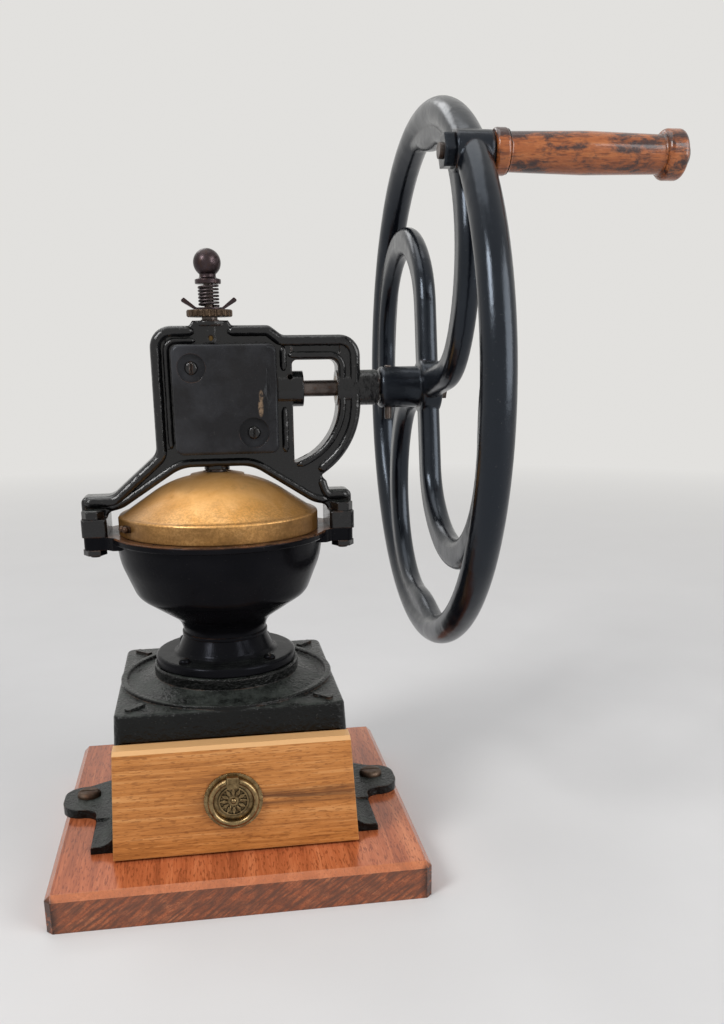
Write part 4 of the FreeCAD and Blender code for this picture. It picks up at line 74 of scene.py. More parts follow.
# Linear colours, alpha last.
WHITE = (1, 1, 1, 1)
BLACK_PAINT = (0.0026, 0.0026, 0.0032, 1)
CAST_BLACK = (0.0028, 0.0031, 0.0030, 1)
WHEEL_BLACK = (0.0022, 0.0028, 0.0044, 1)
SHEET_BLACK = (0.013, 0.0125, 0.0135, 1)
RUST = (0.115, 0.048, 0.020, 1)
DARK_RUST = (0.045, 0.022, 0.013, 1)
GREY_GREEN = (0.060, 0.068, 0.060, 1)
PALE_DUST = (0.170, 0.165, 0.150, 1)
BARE_SHEET = (0.240, 0.165, 0.105, 1)
WALL = (0.760, 0.750, 0.730, 1)
ROOM_TINT = (0.93, 0.95, 1.0, 1)
FLOOR_DARK = (0.60, 0.59, 0.58, 1)
FLOOR_LIGHT = (0.65, 0.64, 0.63, 1)

# Fine relief in the materials, and the rounding that the shader gives sharp edges, metres.
PIT_DEPTH = 0.00010
STEEL_GRAIN = 0.00006
LATHE_DEPTH = 0.00005
SCRATCH_DEPTH = 0.00003
BRASS_WAVES = 0.0006
FIBRE_DEPTH = 0.00010
PORE_DEPTH = 0.00008
METAL_EDGE = 0.0004
WOOD_EDGE = 0.0009
# The slant of the saw strokes on the board's ends, radians, and the blackened strip at its corners, metres.
SAW_SLANT = 0.62
CORNER_OUTER = 0.0075
CORNER_INNER = 0.0040

# Where wear and painted light show, metres: rust round the hopper's rim, dust on its foot, the lid's band
# and the spot of its painted highlight.
RIM_RUST_BELOW = 0.0045
RIM_RUST_ABOVE = 0.0015
FOOT_DUST = 0.0008
LID_BAND = 0.0106
LID_PAINTED_HIGHLIGHT = Vector((0.002, 0.018, 0.022))
LID_DENT = Vector((0.031, -0.032, -0.009))
LID_DENT_RADIUS = 0.004
LID_DENT_DEPTH = 0.0008
# Chips on the front cover: x, z, radius, how much paint is gone, and how many times taller than wide.
COVER_CHIPS = [(0.0265, 0.2865, 0.0060, 0.85, 3.2), (0.0270, 0.2935, 0.0040, 0.60, 2.6)]
# Creases in the front cover: x, z, radius, how many times taller than wide, and depth.
COVER_CREASES = [(0.0285, 0.296, 0.017, 4.0, 0.0016), (0.0350, 0.300, 0.040, 9.0, -0.0012)]
# The dark streak on the drawer's front: its height as a share, its width and its length from the right end.
STREAK_LEVEL = 0.44
STREAK_WIDTH = 0.006
STREAK_LENGTH = 0.080

# The room: soft boxes as (place, width, height, watts), what they look at, and the floor, in metres.
SOFT_BOXES = {
    "key": ((-1.3, -1.1, 1.6), 0.55, 0.8, 27),
    "fill": ((1.5, -1.15, 0.9), 1.3, 1.5, 27),
    "top": ((-0.3, 0.2, 2.3), 1.6, 1.6, 13),
    "back": ((-0.6, 1.5, 1.7), 1.2, 0.5, 5),
}
LIGHT_AIM = (0.0, 0.0, 0.22)
ROOM_LIGHT = 0.38
FLOOR_RADIUS = 8.0
FLOOR_SIDES = 96
FLOOR_FADE_START = 0.45
FLOOR_FADE_END = 2.2
FLOOR_GRAIN = 0.0001


def link(tree, socket, value):
    """Give an input a constant or another node's output."""
    if isinstance(value, bpy.types.NodeSocket):
        tree.links.new(value, socket)
    else:
        socket.default_value = value


def add(tree, kind, values=None, **settings):
    """A node with its settings, and its inputs by name or number."""
    node = tree.nodes.new(kind)
    for key, value in settings.items():
        setattr(node, key, value)
    for key, value in (values or {}).items():
        link(tree, node.inputs[key], value)
    return node


def place(tree, scale=(1, 1, 1), shift=(0, 0, 0)):
    """Coordinates in the row frame at rest, scaled for a grain."""
    here = add(tree, "ShaderNodeTexCoord").outputs["Object"]
    return add(tree, "ShaderNodeMapping", {"Vector": here, "Location": shift, "Scale": scale}).outputs[0]


def noise(tree, vector, scale, detail=4.0, rough=0.5, distortion=0.0):
    """Cloudy noise, 0 to 1 about a middle of a half."""
    values = {"Vector": vector, "Scale": scale, "Detail": detail, "Roughness": rough,
              "Distortion": distortion}
    return add(tree, "ShaderNodeTexNoise", values).outputs["Fac"]


def cells(tree, vector, scale):
    """Distance to the nearest of scattered points."""
    return add(tree, "ShaderNodeTexVoronoi", {"Vector": vector, "Scale": scale}).outputs["Distance"]


def remap(tree, value, low, high, start=0.0, stop=1.0):
    """Map a range onto another, held at its ends."""
    values = {"Value": value, "From Min": low, "From Max": high, "To Min": start, "To Max": stop}
    return add(tree, "ShaderNodeMapRange", values).outputs[0]


def sums(tree, operation, *values):
    """One arithmetic operation on numbers or outputs."""
    return add(tree, "ShaderNodeMath", dict(enumerate(values)), operation=operation).outputs[0]


def mix(tree, share, first, second):
    """First colour where the share is 0, second where it is 1."""
    return add(tree, "ShaderNodeMix", {0: share, 6: first, 7: second}, data_type="RGBA").outputs[2]


def ramp(tree, value, *stops):
    """Colour ramp through (position, colour) stops."""
    node = add(tree, "ShaderNodeValToRGB", {"Fac": value})
    elements = node.color_ramp.elements
    for index, (position, colour) in enumerate(stops):
        stop = elements[index] if index < 2 else elements.new(position)
        stop.position = position
        stop.color = colour
    return node.outputs["Color"]


def bump(tree, height, depth, strength=1.0, normal=None):
    """Surface normal bent by a height that spans a depth in metres."""
    values = {"Height": height, "Distance": depth, "Strength": strength}
    if normal is not None:
        values["Normal"] = normal
    return add(tree, "ShaderNodeBump", values).outputs[0]


def soft_edges(tree, radius):
    """Normal that rounds sharp edges, and a mask of the edges themselves."""
    rounded = add(tree, "ShaderNodeBevel", {"Radius": radius}, samples=6).outputs[0]
    flat = add(tree, "ShaderNodeNewGeometry").outputs["Normal"]
    meeting = add(tree, "ShaderNodeVectorMath", {0: rounded, 1: flat}, operation="DOT_PRODUCT")
    return rounded, remap(tree, meeting.outputs["Value"], 0.99, 0.80)


def painted_recess_shade(tree, reach, deep=0.62, open_at=0.97):
    """Mask of painted shade in nooks, found by ambient occlusion."""
    settings = {"samples": 6, "only_local": True}
    hidden = add(tree, "ShaderNodeAmbientOcclusion", {"Distance": reach}, **settings).outputs["AO"]
    return remap(tree, hidden, deep, open_at, 1.0, 0.0)


def facing_up(tree, start=0.55, stop=0.95):
    """Mask of the faces that look upward, where dust settles."""
    normal = add(tree, "ShaderNodeNewGeometry").outputs["True Normal"]
    return remap(tree, add(tree, "ShaderNodeSeparateXYZ", {0: normal}).outputs["Z"], start, stop)


def spot(tree, centre, inner, outer):
    """Mask of a round patch about a point."""
    here = add(tree, "ShaderNodeTexCoord").outputs["Object"]
    away = add(tree, "ShaderNodeVectorMath", {0: here, 1: centre}, operation="DISTANCE")
    return remap(tree, away.outputs["Value"], inner, outer, 1.0, 0.0)


def band(tree, axis, low, high, soft):
    """Mask of a slab between two places along an axis."""
    here = add(tree, "ShaderNodeTexCoord").outputs["Object"]
    value = add(tree, "ShaderNodeSeparateXYZ", {0: here}).outputs[axis]
    rise = remap(tree, value, low - soft, low)
    fall = remap(tree, value, high, high + soft, 1.0, 0.0)
    return sums(tree, "MULTIPLY", rise, fall)


def product(tree, *values):
    """Masks and shares multiplied together."""
    result = values[0]
    for value in values[1:]:
        result = sums(tree, "MULTIPLY", result, value)
    return result


def stretched(along, across, share):
    """A scale for a pattern that is drawn out along one axis."""
    return [across * share if axis == along else across for axis in "XYZ"]


def finish_material(tree, colour, rough, normal, metal=0.0, coat=0.0, coat_rough=0.1, shine=0.5, tint=WHITE):
    """Close a graph with the surface shader."""
    values = {"Base Color": colour, "Roughness": rough, "Normal": normal, "Metallic": metal,
              "Coat Weight": coat, "Coat Roughness": coat_rough, "Specular IOR Level": shine,
              "Specular Tint": tint}
    surface = add(tree, "ShaderNodeBsdfPrincipled", values)
    output = add(tree, "ShaderNodeOutputMaterial")
    tree.links.new(surface.outputs[0], output.inputs[0])


def new_material(name):
    """An empty node material."""
    material = bpy.data.materials.new(name)
    material.use_nodes = True
    material.node_tree.nodes.clear()
    return material, material.node_tree


def painted_iron(name, paint, worn, rough=0.28, lump=0.0005, lump_scale=180.0, wear=0.5, dust=0.0,
                 patches=(), shine=0.10, grit_depth=0.00005, waves=0.0, tint=WHITE, edge=0.0007,
                 specked=0.3, creases=()):
    """Old gloss paint on iron: lumps, pinholes, worn edges, dust, and patches as (mask maker, colour)."""
    material, tree = new_material(name)
    here = place(tree)
    broad = noise(tree, here, scale=28.0, detail=5.0)
    lumps = noise(tree, here, scale=lump_scale, detail=3.0)
    grit = noise(tree, here, scale=1400.0, detail=2.0)
    pits = remap(tree, cells(tree, here, 420.0), low=0.03, high=0.16)
    rounded, edges = soft_edges(tree, edge)
    patchy = remap(tree, noise(tree, here, scale=95.0, detail=6.0, rough=0.65), low=0.47, high=0.60)
    worn_share = product(tree, edges, patchy, wear)
    colour = mix(tree, remap(tree, broad, low=0.40, high=0.75, stop=0.35), paint, worn)
    colour = mix(tree, worn_share, colour, RUST)
    specks = remap(tree, noise(tree, here, scale=700.0, detail=2.0), low=0.70, high=0.75, stop=specked)
    colour = mix(tree, specks, colour, PALE_DUST)
    for mask, patch_colour in patches:
        colour = mix(tree, mask(tree, here), colour, patch_colour)
    drifts = remap(tree, noise(tree, here, scale=60.0, detail=8.0, rough=0.7), low=0.38, high=0.62)
    settled = product(tree, facing_up(tree), drifts, dust)
    colour = mix(tree, settled, colour, GREY_GREEN)
    dulling = noise(tree, here, scale=45.0, detail=6.0, rough=0.6)
    roughness = remap(tree, dulling, low=0.30, high=0.72, start=rough * 0.75, stop=rough * 1.6)
    roughness = sums(tree, "ADD", roughness, product(tree, settled, 0.45))
    normal = bump(tree, lumps, lump, normal=rounded)
    normal = bump(tree, noise(tree, here, scale=32.0, detail=2.0), waves, normal=normal)
    for centre, radius, slim, depth in creases:
        away = stretched_distance(tree, here, centre, slim)
        fold = remap(tree, away, low=0.0, high=radius, start=1.0, stop=0.0)
        normal = bump(tree, fold, depth, normal=normal)
    normal = bump(tree, grit, grit_depth, strength=0.6, normal=normal)
    normal = bump(tree, pits, PIT_DEPTH, strength=0.5, normal=normal)
    finish_material(tree, colour, roughness, normal, shine=shine, tint=tint)
    return material


def old_steel(name, bright, dark, rough=0.42, rusty=0.5, turned=None):
    """Bare steel gone brown: blotches, rust and, where turned names an axis, fine lathe rings round it."""
    material, tree = new_material(name)
    here = place(tree)
    rounded, edges = soft_edges(tree, METAL_EDGE)
    blotch = remap(tree, noise(tree, here, scale=130.0, detail=7.0, rough=0.65), low=0.36, high=0.64)
    colour = mix(tree, blotch, bright, dark)
    rust = noise(tree, here, scale=260.0, detail=6.0, rough=0.7)
    rust = remap(tree, rust, low=0.52, high=0.66, stop=rusty)
    colour = mix(tree, rust, colour, RUST)
    colour = mix(tree, product(tree, edges, 0.45), colour, bright)
    metal = remap(tree, rust, low=0.0, high=1.0, start=0.9, stop=0.25)
    roughness = remap(tree, blotch, low=0.0, high=1.0, start=rough * 0.8, stop=rough * 1.35)
    grain = noise(tree, here, scale=900.0, detail=4.0, rough=0.6)
    normal = bump(tree, grain, STEEL_GRAIN, strength=0.7, normal=rounded)
    if turned is not None:
        around = [900.0 if axis == turned else 6.0 for axis in "XYZ"]
        rings = noise(tree, place(tree, around), scale=1.0, detail=3.0)
        normal = bump(tree, rings, LATHE_DEPTH, strength=0.6, normal=normal)
    finish_material(tree, colour, roughness, normal, metal=metal)
    return material


def old_brass(name, bright, dark, black, rough=0.34, patina=0.5, scale=70.0, dents=(), recess_shade_reach=0.0,
              tarnish_and_shade_masks=(), metal=1.0):
    """Brass with patina: clouds of tarnish, painted shade in hollows, wiped bright edges, scratches and
    dents.
    """
    material, tree = new_material(name)
    here = place(tree)
    rounded, edges = soft_edges(tree, METAL_EDGE)
    clouds = noise(tree, here, scale=scale, detail=8.0, rough=0.62, distortion=0.4)
    clouds = remap(tree, clouds, low=0.34, high=0.66)
    colour = mix(tree, clouds, bright, dark)
    stains = noise(tree, here, scale=scale * 2.6, detail=6.0, rough=0.7)
    stains = remap(tree, stains, low=0.56, high=0.70, stop=patina)
    colour = mix(tree, stains, colour, black)
    colour = mix(tree, product(tree, edges, 0.35), colour, bright)
    # Painted shade: hollows turn black where ambient occlusion finds them closed in.
    if recess_shade_reach > 0.0:
        colour = mix(tree, painted_recess_shade(tree, recess_shade_reach), colour, black)
    for mask in tarnish_and_shade_masks:
        colour = mix(tree, mask(tree, here), colour, black)
    roughness = remap(tree, clouds, low=0.0, high=1.0, start=rough * 0.85, stop=rough * 1.3)
    roughness = sums(tree, "ADD", roughness, product(tree, stains, 0.15))
    scratch = noise(tree, place(tree, (500.0, 60.0, 900.0)), scale=1.0, detail=4.0, rough=0.7)
    normal = bump(tree, scratch, SCRATCH_DEPTH, strength=0.5, normal=rounded)
    normal = bump(tree, noise(tree, here, scale=35.0, detail=2.0), BRASS_WAVES, strength=0.35, normal=normal)
    for centre, radius, depth in dents:
        normal = bump(tree, spot(tree, centre, inner=0.0, outer=radius), -depth, normal=normal)
    finish_material(tree, colour, roughness, normal, metal=metal)
    return material


def wood(name, dark, middle, light, along, grain=700.0, stretch=0.02, streak=60.0, rough=0.35, coat=0.4,
         figure=(), edge_wear_and_sheen=None, spread=0.14, ring=70.0, heart=(0, 0, 0), ring_share=0.35, pore=800.0):
    """Varnished wood: rings round a heart line along an axis, fibres, streaks, pores, and edges toned by
    wear and by painted sheen.
    """
    material, tree = new_material(name)
    ring_values = {"Vector": place(tree, stretched(along, 1.0, stretch), heart), "Scale": ring,
                   "Distortion": 9.0, "Detail": 4.0, "Detail Scale": 0.6, "Detail Roughness": 0.62}
    rings = add(tree, "ShaderNodeTexWave", ring_values, wave_type="RINGS", rings_direction=along,
                wave_profile="SAW").outputs["Fac"]
    fibres = noise(tree, place(tree, stretched(along, grain, stretch)), scale=1.0, detail=8.0, rough=0.72)
    streaks = noise(tree, place(tree, stretched(along, streak, stretch), (3.1, 1.7, 0.4)), scale=1.0,
                    detail=6.0, rough=0.62, distortion=0.8)
    pores = noise(tree, place(tree, stretched(along, pore, 0.16)), scale=1.0, detail=2.0)
    pores = remap(tree, pores, low=0.56, high=0.63)
    broad = noise(tree, place(tree), scale=14.0, detail=3.0)
    value = product(tree, sums(tree, "SUBTRACT", rings, 0.5), ring_share * 0.35)
    for pattern, share in ((streaks, 0.50), (fibres, 0.38), (broad, 0.12)):
        value = sums(tree, "ADD", value, product(tree, pattern, share))
    colour = ramp(tree, value, (0.5 - spread, dark), (0.5 + spread, light), (0.50, middle))
    colour = mix(tree, product(tree, pores, 0.60), colour, dark)
    rounded, edges = soft_edges(tree, WOOD_EDGE)
    # Edges take their own tone: wear, and a painted sheen where they catch the light.
    if edge_wear_and_sheen is not None:
        colour = mix(tree, product(tree, edges, 0.55), colour, edge_wear_and_sheen)
    for mask, tone in figure:
        colour = mix(tree, mask(tree), colour, tone)
    roughness = remap(tree, fibres, low=0.3, high=0.7, start=rough * 0.8, stop=rough * 1.25)
    normal = bump(tree, fibres, FIBRE_DEPTH, strength=0.5, normal=rounded)
    normal = bump(tree, pores, -PORE_DEPTH, strength=0.5, normal=normal)
    finish_material(tree, colour, roughness, normal, coat=coat, coat_rough=0.10, shine=0.25)
    return material


def rim_rust(low, high):
    """Patch maker: rust on what faces up between two levels."""
    def mask(tree, here):
        ragged = noise(tree, here, scale=150.0, detail=6.0, rough=0.7)
        ragged = remap(tree, ragged, low=0.36, high=0.56, start=0.15)
        level = band(tree, "Z", low, high, soft=0.0008)
        return product(tree, level, facing_up(tree, start=0.2, stop=0.7), ragged)
    return mask


def stretched_distance(tree, here, centre, slim):
    """Distance from a point, counted several times over sideways."""
    away = add(tree, "ShaderNodeVectorMath", {0: here, 1: centre}, operation="SUBTRACT").outputs[0]
    away = add(tree, "ShaderNodeVectorMath", {0: away, 1: (slim, 1, 1)}, operation="MULTIPLY").outputs[0]
    return add(tree, "ShaderNodeVectorMath", {0: away}, operation="LENGTH").outputs["Value"]


def chip(centre, radius, share, slim):
    """Patch maker: a ragged upright chip in the paint, slimmer than it is tall."""
    def mask(tree, here):
        away = stretched_distance(tree, here, centre, slim)
        inside = remap(tree, away, low=radius * 0.6, high=radius, start=1.0, stop=0.0)
        ragged = noise(tree, here, scale=420.0, detail=5.0, rough=0.7)
        return product(tree, inside, remap(tree, ragged, low=0.40, high=0.50, stop=share))
    return mask


def haze(scale, share):
    """Patch maker: broad clouds of duller, greyer paint."""
    def mask(tree, here):
        return remap(tree, noise(tree, here, scale, detail=7.0, rough=0.62), low=0.42, high=0.66, stop=share)
    return mask


def tarnish_and_shade_away_from(point, near, far, share):
    """Patch maker: tarnish and painted shade that deepen with the distance from a point, leaving a painted
    highlight there.
    """
    def mask(tree, here):
        away = add(tree, "ShaderNodeVectorMath", {0: here, 1: point}, operation="DISTANCE").outputs["Value"]
        wander = product(tree, noise(tree, here, scale=55.0), 0.012)
        return remap(tree, sums(tree, "ADD", away, wander), near, far, stop=share)
    return mask


def mottled_rim(low, high):
    """Patch maker: tarnish stipple that thickens toward the lid's outer edge."""
    middle = (low + high) / 2
    axis = Vector((middle.x, middle.y, high.z))
    inner = (high.z - low.z) * 1.15
    outer = (high.x - low.x) / 2 * 1.12

    def mask(tree, here):
        edge = sums(tree, "SUBTRACT", 1.0, spot(tree, axis, inner, outer))
        stipple = noise(tree, here, scale=650.0, detail=3.0, rough=0.7)
        return product(tree, edge, remap(tree, stipple, low=0.40, high=0.60), 0.55)
    return mask


def lid_band(low, high):
    """Patch maker: the lid's upright band, darker than its dome in mottled patches."""
    def mask(tree, here):
        band_mottle = noise(tree, place(tree, (40, 40, 160)), scale=1.0, detail=5.0, rough=0.6)
        band_mottle = remap(tree, band_mottle, low=0.35, high=0.65, start=0.40, stop=0.82)
        return product(tree, band(tree, "Z", low, high, soft=0.0006), band_mottle)
    return mask


def drawer_streak(low, high, start, stop):
    """Figure maker: a dark resin streak across part of the drawer's front."""
    def mask(tree):
        waves = place(tree, (14.0, 14.0, 240.0))
        waves = noise(tree, waves, scale=1.0, detail=4.0, rough=0.6, distortion=0.6)
        waves = remap(tree, waves, low=0.34, high=0.58, stop=0.85)
        length = band(tree, "X", start, stop, soft=0.03)
        return product(tree, band(tree, "Z", low, high, soft=0.003), length, waves)
    return mask


def end_grain(tree):
    """Figure: browner, duller wood with slanting saw strokes on the board's ends."""
    normal = add(tree, "ShaderNodeNewGeometry").outputs["True Normal"]
    facing = add(tree, "ShaderNodeSeparateXYZ", {0: normal}).outputs["Y"]
    end = remap(tree, sums(tree, "ABSOLUTE", facing), low=0.90, high=0.98)
    here = add(tree, "ShaderNodeTexCoord").outputs["Object"]
    turned = add(tree, "ShaderNodeMapping", {"Vector": here, "Rotation": (0, SAW_SLANT, 0)}).outputs[0]
    drawn = add(tree, "ShaderNodeMapping", {"Vector": turned, "Scale": (75, 1, 520)}).outputs[0]
    strokes = noise(tree, drawn, scale=1.0, detail=5.0, rough=0.62)
    return product(tree, end, remap(tree, strokes, low=0.36, high=0.58, start=0.30, stop=0.95))


def dark_corners(low, high):
    """Figure maker: the board's upright corners, blackened by handling."""
    middle = (low + high) / 2
    half = (high - low) / 2
    reach = half.x + half.y

    def mask(tree):
        here = add(tree, "ShaderNodeTexCoord").outputs["Object"]
        away = add(tree, "ShaderNodeVectorMath", {0: here, 1: middle}, operation="SUBTRACT").outputs[0]
        sides = add(tree, "ShaderNodeSeparateXYZ", {0: away}).outputs
        near = sums(tree, "ADD", *(sums(tree, "ABSOLUTE", sides[axis]) for axis in "XY"))
        edge = remap(tree, near, low=reach - CORNER_OUTER, high=reach - CORNER_INNER)
        ragged = noise(tree, here, scale=220.0, detail=5.0, rough=0.7)
        return product(tree, edge, remap(tree, ragged, low=0.34, high=0.52, start=0.2, stop=0.9))
    return mask


def painted_chamfer_highlight(tree):
    """Figure: painted highlight on the board's chamfer, paler where its faces slant upward."""
    rise = facing_up(tree, start=0.35, stop=0.55)
    level = facing_up(tree, start=0.85, stop=0.95)
    return product(tree, sums(tree, "SUBTRACT", rise, level), 0.45)


def painted_bevel_highlight(tree):
    """Figure: painted highlight on the drawer's top bevel, paler where it faces up."""
    return facing_up(tree, start=0.30, stop=0.60)


def worn_blotches(tree):
    """Figure: dark sweat stains and scuffs on the grip, thickest on top."""
    broad = noise(tree, place(tree, (22.0, 60.0, 60.0)), scale=1.0, detail=3.0)
    fine = noise(tree, place(tree, (110.0, 190.0, 190.0)), scale=1.0, detail=8.0, rough=0.74, distortion=0.3)
    both = sums(tree, "ADD", product(tree, broad, 0.55), product(tree, fine, 0.45))
    both = sums(tree, "ADD", both, product(tree, facing_up(tree, start=-1.0, stop=1.0), 0.05))
    return remap(tree, both, low=0.505, high=0.575, stop=0.94)


def board_wood():
    """Reddish varnished board, browner on its sawn ends, black at its corners, and with a painted highlight
    on its chamfer.
    """
    # The chamfer's paler colour is a painted highlight.
    figure = [(end_grain, (0.105, 0.043, 0.026, 1)), (painted_chamfer_highlight, (0.42, 0.16, 0.075, 1)),
              (dark_corners(*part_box("base_board")), (0.020, 0.009, 0.006, 1))]
    return wood("board_wood", dark=(0.160, 0.034, 0.012, 1), middle=(0.420, 0.112, 0.040, 1),
                light=(0.640, 0.225, 0.095, 1), along="Y", grain=800.0, stretch=0.05, streak=70.0,
                rough=0.22, coat=0.36, pore=1000.0, figure=figure, edge_wear_and_sheen=(0.50, 0.24, 0.13, 1),
                spread=0.19, ring=30.0, heart=(0.03, 0, 0.09), ring_share=0.2)


def drawer_wood():
    """Plain light hardwood with one dark streak and a painted highlight on its top bevel."""
    low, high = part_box("drawer_front")
    seam = low.z + (high.z - low.z) * STREAK_LEVEL
    streak = drawer_streak(seam, seam + STREAK_WIDTH, high.x - STREAK_LENGTH, high.x)
    # The top bevel's pale colour is a painted highlight.
    figure = [(streak, (0.085, 0.030, 0.010, 1)), (painted_bevel_highlight, (0.62, 0.35, 0.15, 1))]
    return wood("drawer_wood", dark=(0.200, 0.066, 0.014, 1), middle=(0.450, 0.175, 0.042, 1),
                light=(0.600, 0.290, 0.100, 1), along="X", grain=1300.0, stretch=0.040, streak=260.0,
                rough=0.40, coat=0.10, spread=0.16, pore=1250.0, figure=figure,
                edge_wear_and_sheen=(0.60, 0.34, 0.14, 1), ring=60.0, heart=(0, 0.14, -0.02), ring_share=0.25)


def handle_wood():
    """Turned grip, varnished orange-brown and stained black by hands."""
    return wood("handle_wood", dark=(0.090, 0.020, 0.006, 1), middle=(0.280, 0.078, 0.020, 1),
                light=(0.430, 0.155, 0.045, 1), along="X", grain=430.0, stretch=0.22, streak=90.0,
                rough=0.26, coat=0.55, figure=[(worn_blotches, (0.022, 0.011, 0.012, 1))],
                edge_wear_and_sheen=(0.24, 0.10, 0.05, 1), spread=0.18, ring=60.0, heart=(0, 0.004, -0.42),
                ring_share=0.1)


def base_iron():
    """Rough black casting under settled dust."""
    return painted_iron("base_iron", CAST_BLACK, worn=(0.008, 0.009, 0.008, 1), rough=0.13, lump=0.0009,
                        lump_scale=380.0, wear=0.6, dust=0.65, shine=0.20, grit_depth=0.00020, edge=0.0012,
                        specked=0.2)


def hopper_paint():
    """Smooth black bowl, rusty round its rim and dusty on its foot."""
    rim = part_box("lid_dome")[0].z
    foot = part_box("hopper")[0].z
    patches = [(rim_rust(rim - RIM_RUST_BELOW, rim + RIM_RUST_ABOVE), RUST),
               (rim_rust(foot, foot + FOOT_DUST), PALE_DUST)]
    return painted_iron("hopper_paint", BLACK_PAINT, worn=(0.012, 0.0115, 0.013, 1), rough=0.17,
                        lump=0.00022, lump_scale=90.0, wear=0.35, dust=0.15, patches=patches, shine=0.07,
                        tint=(0.80, 0.84, 1.0, 1), specked=0.06)


def frame_paint():
    """Glossy black over a lumpy casting, worn brown along its edges."""
    return painted_iron("frame_paint", BLACK_PAINT, worn=(0.010, 0.0098, 0.0098, 1), rough=0.13, lump=0.0004,
                        lump_scale=230.0, wear=0.55, dust=0.30, shine=0.45, edge=0.0016, specked=0.18)


def cover_paint():
    """Dented sheet in hazy black, chipped beside its lower screw."""
    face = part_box("cover_front")[0].y
    patches = [(chip(Vector((x, face, z)), radius, share, slim), BARE_SHEET)
               for x, z, radius, share, slim in COVER_CHIPS]
    patches.append((haze(scale=24.0, share=0.75), (0.040, 0.041, 0.046, 1)))
    creases = [(Vector((x, face, z)), radius, slim, depth) for x, z, radius, slim, depth in COVER_CREASES]
    return painted_iron("cover_paint", SHEET_BLACK, worn=(0.026, 0.024, 0.023, 1), rough=0.24,
                        lump=0.00030, lump_scale=120.0, wear=0.7, dust=0.1, patches=patches, shine=0.16,
                        waves=0.0022, tint=(0.88, 0.94, 1.0, 1), specked=0.12, creases=creases)


def wheel_paint():
    """Thick blue-black gloss on the wheel."""
    return painted_iron("wheel_paint", WHEEL_BLACK, worn=(0.008, 0.009, 0.012, 1), rough=0.16, lump=0.00035,
                        lump_scale=70.0, wear=0.5, dust=0.10, shine=0.42, waves=0.0006,
                        tint=(0.74, 0.85, 1.0, 1), edge=0.0022, specked=0.12)


def lid_brass():
    """Golden lid with a painted highlight, tarnish and painted shade away from it, darker at its rim and on
    its band, with one dent.
    """
    low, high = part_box("lid_dome")
    middle = (low + high) / 2
    painted_highlight_spot = Vector((middle.x, low.y, low.z)) + LID_PAINTED_HIGHLIGHT
    dent = Vector((middle.x, middle.y, high.z)) + LID_DENT
    # The first mask paints a highlight on the dome's front, with tarnish and painted shade growing away from
    # it.
    tarnish_and_shade_masks = [tarnish_and_shade_away_from(painted_highlight_spot, near=0.024, far=0.078, share=0.86), mottled_rim(low, high),
            lid_band(low.z - MM, low.z + LID_BAND)]
    return old_brass("lid_brass", bright=(0.860, 0.490, 0.190, 1), dark=(0.660, 0.330, 0.085, 1),
                     black=(0.150, 0.070, 0.016, 1), rough=0.38, patina=0.22, scale=42.0,
                     dents=[(dent, LID_DENT_RADIUS, LID_DENT_DEPTH)], tarnish_and_shade_masks=tarnish_and_shade_masks, metal=0.62)


def pull_brass():
    """Antique brass, with painted shade blackening the rosette's hollows."""
    return old_brass("pull_brass", bright=(0.330, 0.235, 0.115, 1), dark=(0.110, 0.072, 0.034, 1),
                     black=(0.008, 0.006, 0.004, 1), rough=0.28, patina=0.60, scale=240.0, recess_shade_reach=0.0040)


def disc_brass():
    """Nearly black brass of the adjusting disc."""
    return old_brass("disc_brass", bright=(0.110, 0.075, 0.050, 1), dark=(0.040, 0.028, 0.020, 1),
                     black=(0.018, 0.012, 0.008, 1), rough=0.38, patina=0.7, scale=160.0)


def bush_brass():
    """Oily brass of the bearing bushes."""
    return old_brass("bush_brass", bright=(0.20, 0.13, 0.05, 1), dark=(0.08, 0.05, 0.02, 1),
                     black=(0.04, 0.025, 0.012, 1))


# Bare metals: bright and dark colour, roughness, share of rust.
BARE_METALS = {
    "screw_steel": ((0.115, 0.082, 0.060, 1), DARK_RUST, 0.5, 0.7),
    "burr_iron": ((0.16, 0.15, 0.14, 1), (0.05, 0.045, 0.04, 1), 0.4, 0.25),
    "dark_steel": ((0.125, 0.105, 0.095, 1), (0.035, 0.027, 0.024, 1), 0.36, 0.35),
    "frame_steel": ((0.060, 0.052, 0.047, 1), (0.018, 0.015, 0.014, 1), 0.42, 0.4),
    "gear_iron": ((0.13, 0.12, 0.11, 1), (0.035, 0.030, 0.026, 1), 0.35, 0.2),
    "adjuster_iron": ((0.066, 0.048, 0.052, 1), (0.022, 0.015, 0.016, 1), 0.30, 0.2),
    "spring_steel": ((0.085, 0.070, 0.072, 1), (0.024, 0.019, 0.020, 1), 0.34, 0.25),
    "knob_brass": ((0.085, 0.048, 0.030, 1), (0.025, 0.013, 0.008, 1), 0.35, 0.5),
}
# Slots whose turned pieces show lathe rings, with the axis that they were turned on.
TURNED = {"dark_steel": "X"}
FINISHES = [board_wood, drawer_wood, handle_wood, base_iron, hopper_paint, frame_paint, cover_paint,
            wheel_paint, lid_brass, pull_brass, disc_brass, bush_brass]


def make_materials():
    """Every finish, by the record's slot."""
    materials = {finish.__name__: finish() for finish in FINISHES}
    for name, (bright, dark, rough, rusty) in BARE_METALS.items():
        materials[name] = old_steel(name, bright, dark, rough, rusty, TURNED.get(name))
    return materials


